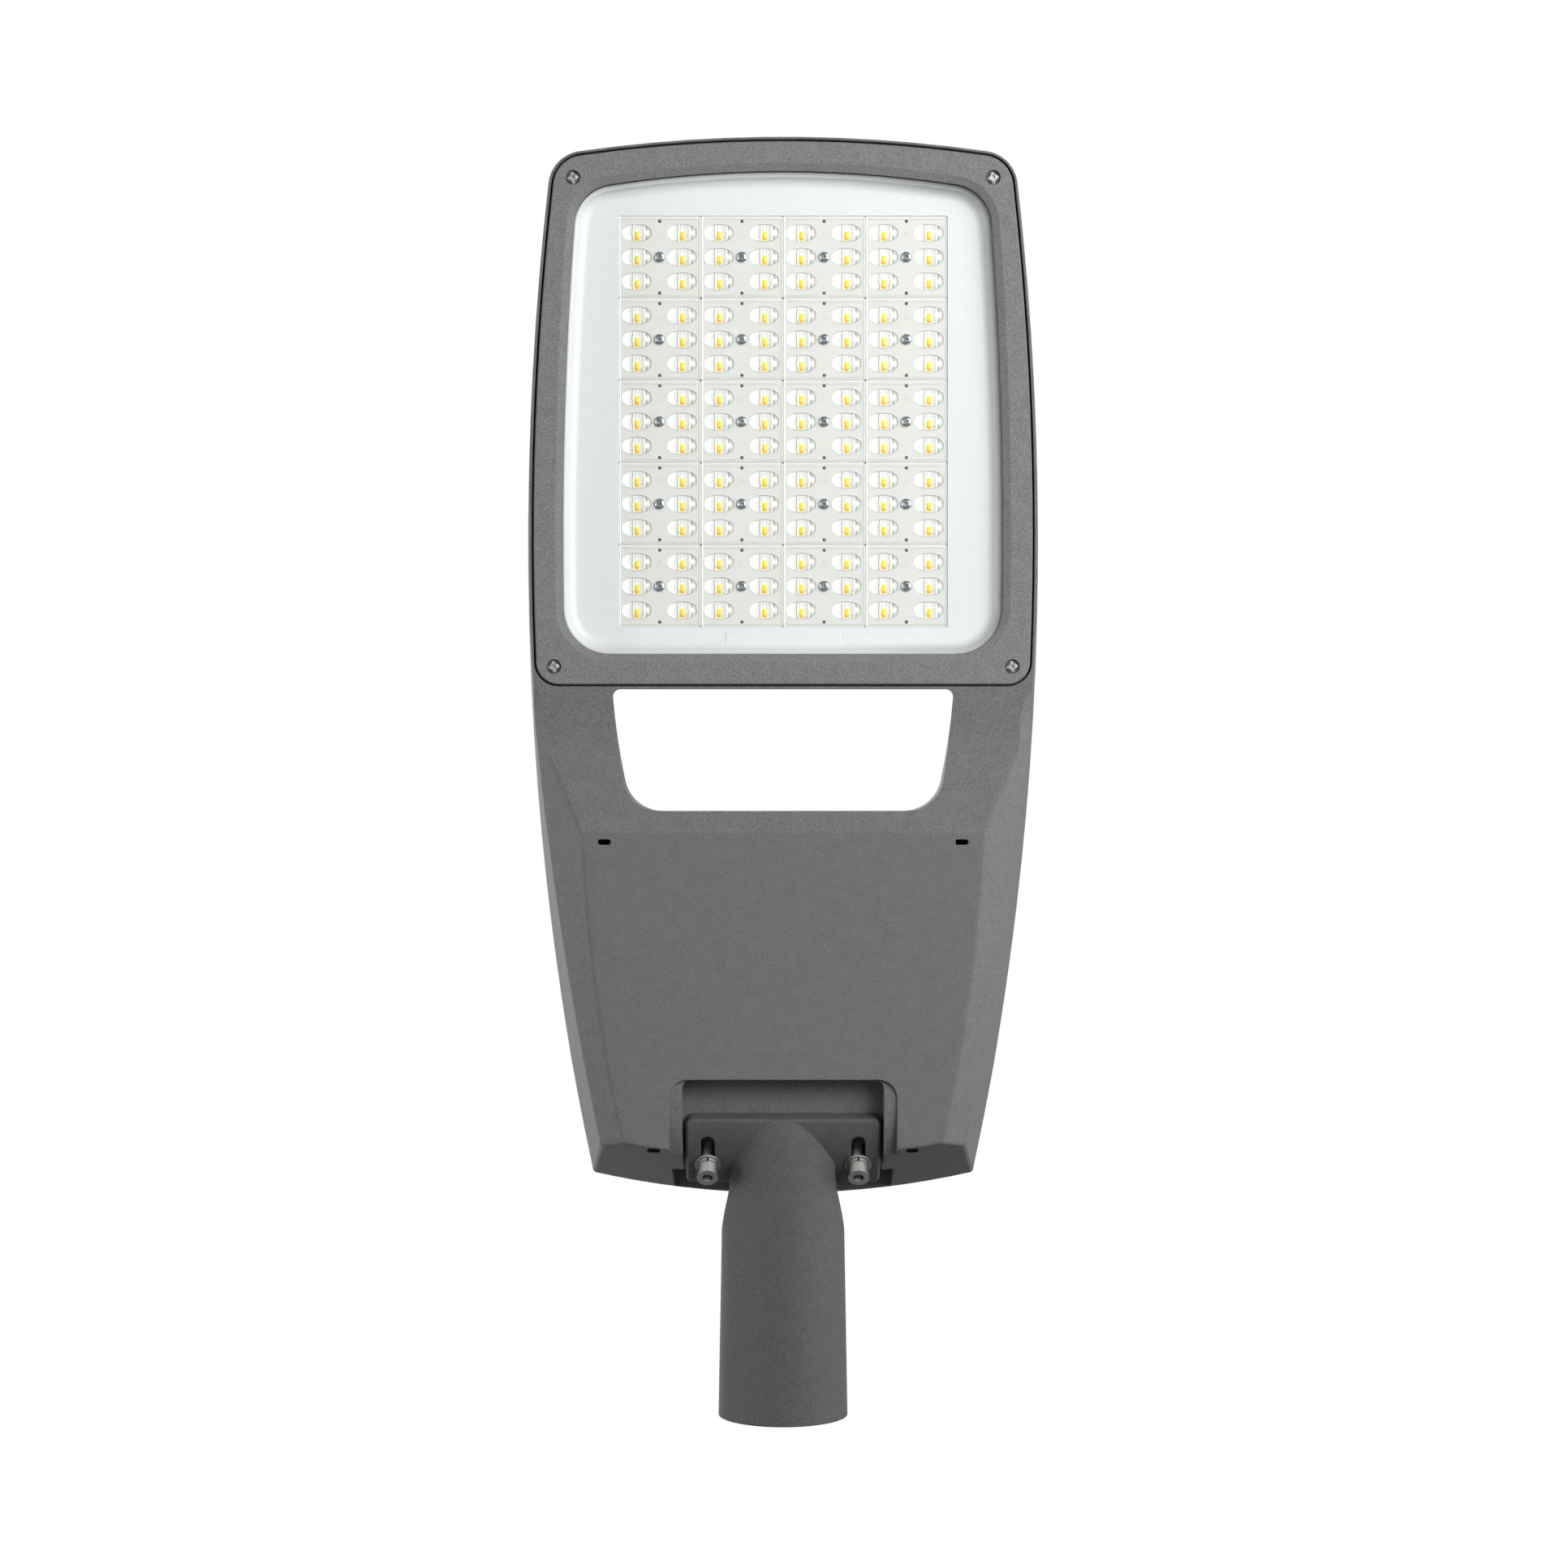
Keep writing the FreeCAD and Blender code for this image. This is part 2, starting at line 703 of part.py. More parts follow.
def lid_gasket_ring():
    floor = box_floor_z + box_wall
    outer = cavity_block(lid_gasket_inset + lid_gasket_width, floor, roof_tail_z + 20)
    ring = outer.cut(cavity_block(lid_gasket_inset, floor - 1, roof_tail_z + 21))
    ring = ring.common(roof(lid_thickness))
    return ring.cut(roof(lid_thickness + lid_gasket_height))


def build_lid():
    lid = cavity_block(lid_margin - lid_gap, box_floor_z, roof_tail_z + 20, lid_ear)
    lid = lid.common(roof(0.0)).cut(roof(lid_thickness))
    for x, y in lid_screw_places():
        seat = lid_screw_seat(x, y)
        lid = lid.cut(pin(x, y, lid_screw_radius + 0.3, seat - 10, seat + 10))
        lid = lid.cut(Part.makeCylinder(lid_screw_sink_radius, 20, Vec(x, y, seat)))
    return lid


def lid_screw_seat(x, y):
    # Flat seat of a lid screw, sunk below the lowest point of the sloping roof round it.
    return roof_height(abs(x) + lid_screw_sink_radius, y - lid_screw_sink_radius) - lid_screw_sink


def module_centres():
    places = []
    for row in range(module_rows):
        for column in range(module_columns):
            x = (column - (module_columns - 1) / 2) * module_pitch
            y = field_centre_y + (row - (module_rows - 1) / 2) * module_pitch
            places.append((x, y))
    return places


def lens_centres(x, y):
    return [(x + side * lens_dx, y + row * lens_pitch) for row in (-1, 0, 1) for side in (-1, 1)]


def lens_ring(x, y, scale, drop):
    # Many-sided ring round a lens, standing down from the module's face.
    stretch = scale / math.cos(math.pi / lens_facets)
    points = []
    for k in range(lens_facets):
        turn = math.pi * (2 * k + 1) / lens_facets
        px = x + stretch * lens_length / 2 * math.cos(turn)
        py = y + stretch * lens_width / 2 * math.sin(turn)
        points.append(Vec(px, py, module_face_z - drop))
    return points


def lens_dome(x, y):
    # Oval lens as one band of flat facets and a flat top.
    foot = lens_ring(x, y, 1.0, 0.0)
    top = lens_ring(x, y, lens_top_scale, lens_height)
    faces = [Part.Face(Part.makePolygon(ring + ring[:1])) for ring in (foot, top)]
    for k in range(lens_facets):
        after = (k + 1) % lens_facets
        corners = [foot[k], foot[after], top[after], top[k]]
        faces.append(Part.Face(Part.makePolygon(corners + corners[:1])))
    return Part.makeSolid(Part.makeShell(faces))


def build_module(x, y):
    half = module_size / 2
    plate = block(x - half, x + half, y - half, y + half, module_face_z, board_face_z)
    inner = half - module_rim
    pocket_low = module_face_z + module_back_wall
    for side in (-1, 1):
        x0, x1 = sorted((x + side * module_rib, x + side * inner))
        plate = plate.cut(block(x0, x1, y - inner, y + inner, pocket_low, board_face_z + 1))
    plate = plate.cut(pin(x, y, lens_screw_hole, module_face_z - 1, board_face_z + 1))
    return plate.fuse([lens_dome(px, py) for px, py in lens_centres(x, y)]).removeSplitter()


def build_lens_screw(x, y):
    head = pin(x, y, lens_screw_head_radius, module_face_z - lens_screw_head_height, module_face_z)
    shank = pin(x, y, lens_screw_radius, module_face_z, module_face_z + lens_screw_length)
    return head.fuse(shank).removeSplitter()


def build_tray():
    rim_z = glass_back_z + tray_rim_gap
    floor_face = chamber_floor_z - tray_floor_drop - tray_thickness
    tray = opening_block(chamber_margin - tray_fit, rim_z, chamber_floor_z)
    rim = chamber_margin - tray_fit - 0.6
    dish = opening_taper(rim, rim - tray_rim_width, rim_z, floor_face)
    back = opening_block(chamber_margin - tray_fit - tray_skirt, floor_face + tray_thickness,
                         chamber_floor_z + 1)
    half_x = field_width / 2 + tray_window_gap
    half_y = field_length / 2 + tray_window_gap
    hole = block(-half_x, half_x, field_centre_y - half_y, field_centre_y + half_y, rim_z - 1, 5)
    return tray.cut(dish).cut(back).cut(hole)


def build_frame():
    frame = frame_block(0.0, frame_face_z, frame_back_z)
    frame = bevel(frame, frame_edge_bevel, lambda e: abs(mid(e).z - frame_face_z) < 1e-6)
    mouth = opening_taper(opening_bevel_width, 0.0, frame_face_z, glass_face_z)
    rebate = opening_block(glass_overlap + glass_clearance, glass_face_z, frame_back_z + 1)
    frame = frame.cut(mouth).cut(rebate)
    for x, y in frame_screw_places():
        sink = Part.makeCylinder(frame_screw_sink_radius, frame_screw_sink + 1,
                                 Vec(x, y, frame_face_z - 1))
        hole = pin(x, y, frame_screw_radius + 0.25, frame_face_z - 1, frame_back_z + 1)
        frame = frame.cut(sink).cut(hole)
    return frame


def build_frame_screw(x, y):
    seat = frame_face_z + frame_screw_sink
    top = seat - frame_screw_head_height
    crown = frame_screw_head_height * 0.6
    head = Part.makeCone(frame_screw_head_radius * 0.6, frame_screw_head_radius, crown, Vec(x, y, top))
    brim = Part.makeCylinder(frame_screw_head_radius, seat - top - crown, Vec(x, y, top + crown))
    shank = pin(x, y, frame_screw_radius, seat, seat + frame_screw_length - 0.5)
    socket = upright_hexagon(x, y, 2.5, top - 1, top + frame_screw_socket)
    return head.fuse([brim, shank]).cut(socket)


def build_glass():
    return opening_block(glass_overlap, glass_face_z, glass_back_z)


def build_glass_seal():
    seal = opening_block(glass_overlap - 0.2, glass_back_z, glass_back_z + seal_thickness)
    return seal.cut(opening_block(chamber_margin, glass_back_z - 1, frame_back_z + 1))


def build_frame_gasket():
    gasket = opening_block(gasket_inset + gasket_width - 0.1, frame_back_z, frame_back_z + gasket_height)
    return gasket.cut(opening_block(gasket_inset + 0.1, frame_back_z - 1, frame_back_z + gasket_height + 1))


def build_board(column):
    x = (column - (module_columns - 1) / 2) * module_pitch
    half_x = module_pitch / 2 - board_margin
    half_y = field_length / 2 - board_margin
    board = block(x - half_x, x + half_x, field_centre_y - half_y, field_centre_y + half_y,
                  board_face_z, board_back_z)
    for px, py in module_centres():
        if abs(px - x) < 1:
            board = board.cut(pin(px, py, lens_screw_hole, board_face_z - 1, board_back_z + 1))
    return board


def build_chips():
    chips = []
    half = chip_size / 2
    for x, y in module_centres():
        for px, py in lens_centres(x, y):
            chips.append(block(px - half, px + half, py - half, py + half,
                               board_face_z - chip_height, board_face_z))
    return group(chips)


def neck_cutter(side):
    # Takes one flank off the tube: straight along the flange, a hollow, then a swell up to the tube.
    end_slope = math.asin(neck_hollow_length / neck_hollow_radius)

    def hollow(step):
        rise = neck_hollow_radius - math.sqrt(neck_hollow_radius ** 2 - step ** 2)
        return neck_waist + rise, neck_waist_y + step

    def swell(share):
        angle = end_slope * (1 - share)
        x, y = hollow(neck_hollow_length)
        x += neck_swell_radius * (math.cos(angle) - math.cos(end_slope))
        return x, y + neck_swell_radius * (math.sin(end_slope) - math.sin(angle))

    def point(place):
        return Vec(side * place[0], place[1], -mouth_radius - 20)

    outer = 2 * mouth_radius
    far = neck_waist_y - 2 * neck_hollow_length
    start = (neck_waist, far)
    corners = [swell(1.0), (outer, swell(1.0)[1]), (outer, far), start, hollow(0.0)]
    edges = [
        Part.Arc(point(hollow(0.0)), point(hollow(neck_hollow_length / 2)),
                 point(hollow(neck_hollow_length))).toShape(),
        Part.Arc(point(swell(0.0)), point(swell(0.5)), point(swell(1.0))).toShape(),
    ]
    for a, b in zip(corners, corners[1:]):
        edges.append(Part.makeLine(point(a), point(b)))
    return Part.Face(Part.Wire(edges)).extrude(Vec(0, 0, 2 * mouth_radius + 40))


def build_adapter():
    a = Vec(0, 0, 0)
    b = Vec(0, 0, -mouth_radius)
    c = Vec(0, -tube_length, -neck_radius)
    d = Vec(0, neck_nose_y, -neck_radius)
    nose_end_y = pivot_y - 5
    drop = neck_nose_radius - math.sqrt(neck_nose_radius ** 2 - (neck_nose_y - nose_end_y) ** 2)
    f = Vec(0, nose_end_y, drop - neck_radius)
    half_y = (neck_nose_y + nose_end_y) / 2
    half_drop = neck_nose_radius - math.sqrt(neck_nose_radius ** 2 - (neck_nose_y - half_y) ** 2)
    e = Vec(0, half_y, half_drop - neck_radius)
    g = Vec(0, nose_end_y, 0)
    edges = [Part.makeLine(a, b), Part.makeLine(b, c), Part.makeLine(c, d)]
    edges += [Part.Arc(d, e, f).toShape(), Part.makeLine(f, g), Part.makeLine(g, a)]
    body = Part.Face(Part.Wire(edges)).revolve(Vec(0, 0, 0), Y_AXIS, 360)
    for side in (-1, 1):
        body = body.cut(neck_cutter(side))
    body = body.cut(seat_cylinder(flange_inner_radius, 120))
    reach = 4 * flange_outer_radius
    front = seat_point(reach, flange_front_deg)
    back = seat_point(reach, flange_front_deg - 160)
    far = pivot_y - 2 * reach
    behind = side_extrusion([(pivot_y, pivot_z), (front.y, front.z), (front.y, -reach), (far, -reach),
                             (far, reach), (back.y, reach), (pivot_y, reach)], 2 * flange_outer_radius)
    body = body.cut(behind)
    flange = seat_sector(flange_inner_radius, flange_outer_radius, -flange_half_width,
                         flange_half_width, flange_front_deg, flange_rear_deg)
    flange = fillet(flange, flange_corner_radius, is_radial_edge)
    flange = bevel(flange, flange_edge_bevel, is_outer_flange_edge)
    body = body.fuse(flange).removeSplitter()
    bore = Part.makeCylinder(bore_radius, bore_length + 1, Vec(0, -bore_length, 0), Y_AXIS)
    passage = Part.makeCylinder(wire_bore_radius, 200, Vec(0, -bore_length - 190, 0), Y_AXIS)
    body = body.cut(bore).cut(passage)
    slot_from = clamp_deg - tilt_range_deg - slot_end_clearance_deg
    slot_to = clamp_deg + slot_end_clearance_deg
    inner = flange_inner_radius - 3
    outer = flange_outer_radius + 3
    for x in clamp_places():
        body = body.cut(seat_sector(inner, outer, x - slot_half, x + slot_half, slot_from, slot_to))
        for deg in (slot_from, slot_to):
            body = body.cut(radial_cylinder(x, deg, slot_half, inner, outer))
    for y in set_screw_ys:
        top = mouth_radius + tube_draft * y + set_screw_boss_height
        boss = Part.makeCylinder(set_screw_boss_radius, top - bore_radius - 1, Vec(0, y, bore_radius + 1))
        body = body.fuse(boss)
        body = body.cut(Part.makeCylinder(set_screw_radius, 30, Vec(0, y, bore_radius - 4)))
    return body


def is_radial_edge(edge):
    ends = [vertex.Point for vertex in edge.Vertexes]
    if len(ends) < 2 or abs(ends[0].x - ends[1].x) > 1e-6:
        return False
    radii = [math.hypot(p.y - pivot_y, p.z - pivot_z) for p in ends]
    return abs(radii[0] - radii[1]) > flange_thickness / 2


def is_outer_flange_edge(edge):
    radii = [math.hypot(p.y - pivot_y, p.z - pivot_z) for p in (edge.Vertexes[0].Point, mid(edge))]
    return all(abs(radius - flange_outer_radius) < 1e-3 for radius in radii)


def build_set_screw(y):
    base = bore_radius + 0.1
    screw = Part.makeCylinder(set_screw_radius - thread_clearance, set_screw_length, Vec(0, y, base))
    top = base + set_screw_length
    return screw.cut(upright_hexagon(0, y, set_screw_hex_flats, top - set_screw_hex_depth, top + 1))


def build_flat_washer(x):
    inner = flange_outer_radius + washer_gap
    washer = radial_cylinder(x, clamp_deg, flat_washer_radius, inner, inner + flat_washer_thickness)
    hole = radial_cylinder(x, clamp_deg, clamp_shank_radius + 0.2, inner - 1,
                           inner + flat_washer_thickness + 1)
    return washer.cut(hole)


def build_spring_washer(x):
    inner = flange_outer_radius + washer_gap + flat_washer_thickness
    outer = inner + spring_washer_thickness
    washer = radial_cylinder(x, clamp_deg, spring_washer_radius, inner, outer)
    washer = washer.cut(radial_cylinder(x, clamp_deg, clamp_shank_radius + 0.2, inner - 1, outer + 1))
    start = seat_point(inner - 1, clamp_deg)
    split = Part.makeBox(spring_washer_split, 2 * spring_washer_radius, spring_washer_thickness + 2)
    split.translate(Vec(-spring_washer_split / 2, 0, 0))
    turn = FreeCAD.Rotation(Vec(0, 0, 1), seat_direction(clamp_deg))
    split.Placement = FreeCAD.Placement(Vec(x, start.y, start.z), turn).multiply(split.Placement)
    return washer.cut(split)


def build_clamp_screw(x):
    head_low = flange_outer_radius + washer_gap + flat_washer_thickness + spring_washer_thickness
    head_top = head_low + clamp_head_height
    head = radial_cylinder(x, clamp_deg, clamp_head_radius, head_low, head_top)
    shank_end = flange_outer_radius - clamp_screw_reach
    shank = radial_cylinder(x, clamp_deg, clamp_shank_radius, shank_end, head_low + 1)
    socket = radial_hexagon(x, clamp_deg, clamp_hex_flats, head_top - clamp_hex_depth, head_top + 1)
    return head.fuse(shank).removeSplitter().cut(socket)


def build_lid_screw(x, y):
    seat = lid_screw_seat(x, y)
    head = Part.makeCylinder(lid_screw_head_radius, lid_screw_head_height, Vec(x, y, seat))
    shank = pin(x, y, lid_screw_radius, seat - lid_screw_length, seat)
    socket = upright_hexagon(x, y, 2.5, seat + 1, seat + lid_screw_head_height + 1)
    return head.fuse(shank).removeSplitter().cut(socket)


def build_bracket():
    floor = box_floor_z + box_wall
    half_x = bracket_size[0] / 2
    y0 = bracket_centre_y - bracket_size[1] / 2
    y1 = bracket_centre_y + bracket_size[1] / 2
    plate = block(-half_x, half_x, y0, y1, floor, floor + bracket_thickness)
    plate = fillet(plate, 6.0, is_upright)
    for x, y in driver_screw_places():
        plate = plate.cut(pin(x, y, driver_screw_radius + 0.1, floor - 2, floor + bracket_thickness + 1))
    return plate


def driver_screw_places():
    x = driver_size[0] / 2 + driver_lug / 2
    return [(side * x, bracket_centre_y + end * driver_size[1] / 3) for side in (-1, 1) for end in (-1, 1)]


def build_driver():
    base = box_floor_z + box_wall + bracket_thickness
    half_x = driver_size[0] / 2
    half_y = driver_size[1] / 2
    case = block(-half_x, half_x, bracket_centre_y - half_y, bracket_centre_y + half_y, base,
                 base + driver_size[2])
    case = fillet(case, 2.0, is_upright)
    lugs = block(-half_x - driver_lug, half_x + driver_lug, bracket_centre_y - half_y,
                 bracket_centre_y + half_y, base, base + driver_lug_height)
    driver = case.fuse(lugs).removeSplitter()
    for x, y in driver_screw_places():
        driver = driver.cut(pin(x, y, driver_screw_radius + 0.2, base - 1, base + driver_lug_height + 1))
    return driver


def build_driver_screw(x, y):
    seat = box_floor_z + box_wall + bracket_thickness + driver_lug_height
    head = pin(x, y, driver_screw_head_radius, seat, seat + driver_screw_head_height)
    shank = pin(x, y, driver_screw_radius, seat - bracket_thickness - driver_lug_height, seat)
    return head.fuse(shank)


def build_terminal_block():
    floor = box_floor_z + box_wall
    length, depth, height = terminal_size
    body = block(-length / 2, length / 2, terminal_y - depth / 2, terminal_y + depth / 2,
                 floor, floor + height)
    pitch = length / terminal_ways
    for k in range(terminal_ways):
        x = (k - (terminal_ways - 1) / 2) * pitch
        y0 = terminal_y - depth / 2 - 1
        body = body.cut(block(x - pitch * 0.3, x + pitch * 0.3, y0, y0 + 5, floor + 4, floor + 12))
    return body


def build_surge_protector():
    floor = box_floor_z + box_wall
    length, depth, height = surge_size
    body = block(surge_x - length / 2, surge_x + length / 2, surge_y - depth / 2,
                 surge_y + depth / 2, floor, floor + height)
    return fillet(body, 3.0, is_upright)


def build_grommets():
    start, run = duct_line()
    direction = Vec(run)
    direction.normalize()
    shapes = []
    for share in (0.105, 0.90):
        base = start + run * share
        sleeve = Part.makeCylinder(duct_radius - 0.1, 10, base, direction)
        shapes.append(sleeve.cut(Part.makeCylinder(grommet_hole_radius, 14, base - direction, direction)))
    return group(shapes)


def export(name, shape):
    if not shape.isValid():
        print("invalid solid:", name)
    print(name, len(shape.Solids), "solids", round(shape.Volume), "mm3")
    solid_of(shape).exportStep("parts/" + name + ".step")


def main():
    export("housing", build_housing())
    export("glass_frame", build_frame())
    export("cover_glass", build_glass())
    export("glass_seal", build_glass_seal())
    export("frame_gasket", build_frame_gasket())
    export("frame_screws", group([build_frame_screw(x, y) for x, y in frame_screw_places()]))
    export("light_tray", build_tray())
    for column in range(module_columns):
        export("led_board_%d" % (column + 1), build_board(column))
    export("led_chips", build_chips())
    for k, (x, y) in enumerate(module_centres()):
        row, column = divmod(k, module_columns)
        export("lens_module_%d%d" % (row + 1, column + 1), build_module(x, y))
    export("lens_screws", group([build_lens_screw(x, y) for x, y in module_centres()]))
    export("driver_cover", build_lid())
    export("cover_gasket", lid_gasket_ring())
    export("cover_screws", group([build_lid_screw(x, y) for x, y in lid_screw_places()]))
    export("driver_bracket", build_bracket())
    export("led_driver", build_driver())
    export("driver_screws", group([build_driver_screw(x, y) for x, y in driver_screw_places()]))
    export("terminal_block", build_terminal_block())
    export("surge_protector", build_surge_protector())
    export("wire_grommets", build_grommets())
    export("clamp_screws", group([build_clamp_screw(x) for x in clamp_places()]))
    export("spring_washers", group([build_spring_washer(x) for x in clamp_places()]))
    export("flat_washers", group([build_flat_washer(x) for x in clamp_places()]))
    export("spigot_adapter", build_adapter())
    export("spigot_set_screws", group([build_set_screw(y) for y in set_screw_ys]))


main()
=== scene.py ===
import bmesh
import bpy
import json
import math
from mathutils import Euler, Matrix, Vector


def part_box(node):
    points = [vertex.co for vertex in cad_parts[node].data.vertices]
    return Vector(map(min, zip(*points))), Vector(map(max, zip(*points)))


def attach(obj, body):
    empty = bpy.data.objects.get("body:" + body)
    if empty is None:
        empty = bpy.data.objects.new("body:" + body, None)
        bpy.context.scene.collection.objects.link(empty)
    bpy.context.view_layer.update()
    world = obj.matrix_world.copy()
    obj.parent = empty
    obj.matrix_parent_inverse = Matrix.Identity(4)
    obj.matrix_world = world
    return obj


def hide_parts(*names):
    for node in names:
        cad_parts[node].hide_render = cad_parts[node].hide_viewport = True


# LED street light head: the looks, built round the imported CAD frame.
# Sizes are millimetres unless a comment says otherwise; MM turns them into metres.
# +Z is the sky side, the light shines to -Z, the nose points to -Y, the pole comes in from +Y.

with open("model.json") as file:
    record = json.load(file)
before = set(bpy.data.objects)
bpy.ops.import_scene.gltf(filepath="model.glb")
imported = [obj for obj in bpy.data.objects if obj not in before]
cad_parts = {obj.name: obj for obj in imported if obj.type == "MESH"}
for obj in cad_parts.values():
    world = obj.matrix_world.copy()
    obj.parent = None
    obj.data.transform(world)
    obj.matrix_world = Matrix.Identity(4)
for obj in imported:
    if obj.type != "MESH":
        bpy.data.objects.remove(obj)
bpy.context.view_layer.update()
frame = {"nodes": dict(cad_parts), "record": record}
nodes = frame["nodes"]

MM = 0.001
HEAD = "head"

# Lamp opening, as the frame node has it: side arcs, front arc, straight rear edge
OPENING_SIDE_X = 133.8
OPENING_APEX_Y = -536.6
OPENING_SIDE_RADIUS = 2600.0
OPENING_FRONT_Y = -758.3
OPENING_FRONT_RADIUS = 690.0
OPENING_REAR_Y = -464.9
OPENING_FRONT_CORNER = 25.0
OPENING_REAR_CORNER = 28.0

# White tray behind the glass: a lip, a quarter-round dish, a flat floor with a hole round the lens field
GLASS_GAP = 0.2
TRAY_LIP = ((-0.4, 0.0), (0.5, 0.0), (1.6, 0.5))  # inset from the opening, height over the lip's face
TRAY_SKIRT = 3.0
DISH_INSET = 2.6
DISH_WIDTH = 6.5
DISH_START = 1.2
DISH_STEPS = 8
TRAY_PROUD = 0.6  # how far its floor stands out of the module plates
TRAY_HOLE_GAP = 0.42
TRAY_HOLE_CORNER = 1.1
TRAY_THICKNESS = 1.6
FLAT_INSET = 30.0  # inset written on all that lies flat inside the dish
# Painted shade along the dish's rim: the plan x over which it grows, and its strength at each end
RIM_SHADE_X = (20.0, 130.0)
RIM_SHADE = (0.14, 0.38)

# Raised tab on the tray below the lens field
TAB_Y = -472.8
TAB_HALF = (35.0, 5.9)
TAB_CORNER = 1.5
TAB_RISE = 0.35
TAB_ROOT = 0.3

# Lens module; a bead has a radius and the depth of its centre line behind the plate's face
MODULE_SIZE = 50.26
MODULE_CORNER = 1.1
RIM_INSETS = (0.85, 2.0)
RIM_BEADS = ((0.45, 0.25), (0.26, 0.06))
SEAT_RADIUS = 3.5
SEAT_BEAD = (0.30, 0.04)
MARK_CORNERS = ((-2.05, -12.4), (2.05, -12.4), (0.0, -15.8))
MARK_BEAD = (0.15, 0.03)
PLATE_THICKNESS = 2.0
PEG_OFFSET = 22.0
PEG_RADIUS = 1.0
PEG_GAP = 0.05

# Oval lenses, two columns of three on each module
LENS_DX = 13.85
LENS_PITCH = 14.8
LENS_HALF_LENGTH = 9.1
LENS_HALF_WIDTH = 5.35
LENS_FOOT = 0.28
LENS_HEIGHT = 4.1
LENS_SIDES = 40
LENS_OVERLAP = 0.1
BED_DEPTH = 0.6

# Phosphor of a chip under each lens, a little towards the pole
CHIP_SHIFT = (0.1, 1.85)
CHIP_HALF = (1.45, 2.6)
CHIP_DOME = ((1.0, 0.0), (0.92, 0.28), (0.7, 0.5), (0.35, 0.62))  # share of its plan, height

# Small screw in the middle of each module
SCREW_RADIUS = 3.1
SCREW_HEIGHT = 2.0
SCREW_DOME = ((1.0, 0.0), (1.0, 0.35), (0.94, 0.66), (0.80, 0.86), (0.6, 0.96), (0.3, 1.0))
SCREW_TURN = 0.7  # radians from one screw to the next
CROSS_ARM = 1.75
CROSS_HALF_WIDTH = 0.42

# Painted light and shade bands seen through a lens, from its left tip (-1) to its right tip (1)
LENS_LIGHT_BANDS = (
    (-1.00, 1.00), (-0.58, 1.00), (-0.55, 0.72), (-0.52, 0.98), (-0.48, 0.96), (-0.45, 0.62),
    (-0.42, 0.95), (-0.39, 0.95), (-0.35, 0.40), (-0.31, 0.46), (-0.28, 1.00), (-0.20, 1.00),
    (-0.17, 0.60), (-0.12, 0.84), (0.12, 0.84), (0.17, 0.62), (0.20, 0.92), (0.30, 0.70),
    (0.34, 0.95), (0.38, 0.48), (0.42, 0.90), (0.46, 0.55), (0.50, 1.00), (0.56, 1.00),
    (0.61, 0.45), (0.72, 0.52), (0.80, 0.80), (0.90, 0.62), (0.96, 0.92), (1.00, 1.00),
)

# Painted light and shade across a module plate, by millimetres from its centre: painted highlight and shade
# lines along the moulded rims at both ends.
# The first row runs from left to right, the second from the nose end to the spigot end.
PLATE_REACH = 25.1
PLATE_BRIGHTEST = 1.25
PLATE_LIGHT_LINES_ACROSS = (
    (-25.1, 0.93), (-24.85, 0.93), (-24.55, 1.20), (-23.6, 1.20), (-23.3, 1.0), (-22.95, 0.94),
    (-22.6, 1.0), (22.35, 1.0), (22.75, 1.10), (23.15, 1.0), (23.7, 0.95), (24.0, 0.84),
    (24.4, 0.84), (24.65, 0.99), (25.1, 1.0),
)
PLATE_LIGHT_LINES_ALONG = (
    (-25.1, 0.95), (-24.9, 0.97), (-24.6, 1.18), (-24.1, 1.18), (-23.85, 1.0), (-23.4, 0.97),
    (-23.1, 1.0), (23.5, 1.0), (23.9, 0.87), (24.25, 0.87), (24.6, 1.02), (25.1, 1.02),
)

# Broken edge between the housing's flat face and its side bevels. In plan it spreads towards the nose
# in front of CREASE_START_Y, and bows in towards the tail behind it (the bow is per metre).
CREASE_X = 120.6
CREASE_START_Y = -356.0
CREASE_NOSE_SLOPE = 0.46
CREASE_TAIL_SLOPE = 0.04
CREASE_TAIL_BOW = 0.5

# Where the wide softening of that edge and of the tail's corners fades in, each from nothing to full
CREASE_FADE_X = (CREASE_X - 10.0, CREASE_X - 7.0)
CREASE_FADE_Y = (-405.0, -398.0)
TAIL_FADE_Y = (-186.0, -182.0)
TAIL_FADE_X = (68.0, 70.0)
TAIL_CORNER_X = (86.0, 92.0)
TAIL_INNER_SHARE = 0.4
UNDERSIDE_Z = (-1.0, -3.0)

# Walls inside the see-through window, darkened by a painted shade, each pair from outside them to inside
WELL_LOW_Z = (-2.0, 1.0)
WELL_HIGH_Z = (45.0, 36.0)
WELL_SIDE_X = (110.0, 108.0)
WELL_FRONT_Y = (-448.0, -446.0)
WELL_REAR_Y = (-364.0, -366.0)
WELL_SHADE = 0.55

# Studio: metres and watts. Each lamp has a name, a place, a point that it looks at, a width and a power.
FLOOR_Z = -2.0
FLOOR_REACH = 60.0
FLOOR_PALE_SHARE = 0.96
WORLD_LIGHT = 0.02
LAMPS = (
    ("key", (0.95, -1.0, -1.15), (0.0, -0.5, 0.0), 1.3, 22.0),
    ("left_fill", (-1.0, -0.5, -1.2), (0.0, -0.4, 0.0), 0.8, 1.0),
    ("front", (0.85, -1.1, -1.5), (0.0, -0.5, 0.0), 0.8, 9.4),
    ("left_side", (-1.6, -0.45, -0.16), (0.0, -0.4, 0.0), 0.8, 18.0),
    ("right_side", (1.6, -0.45, -0.16), (0.0, -0.4, 0.0), 0.8, 10.5),
    ("sky", (-0.6, -0.9, 1.9), (0.0, -0.4, 0.0), 1.6, 42.0),
    ("rear", (-0.8, 1.2, 1.7), (0.0, -0.2, 0.0), 1.0, 5.0),
)
CAMERA_PLACE = (0.0006, -0.3857, -1.840)
CAMERA_TURN = (math.pi, 0.0, 0.0)
FOCAL_LENGTH = 68.955

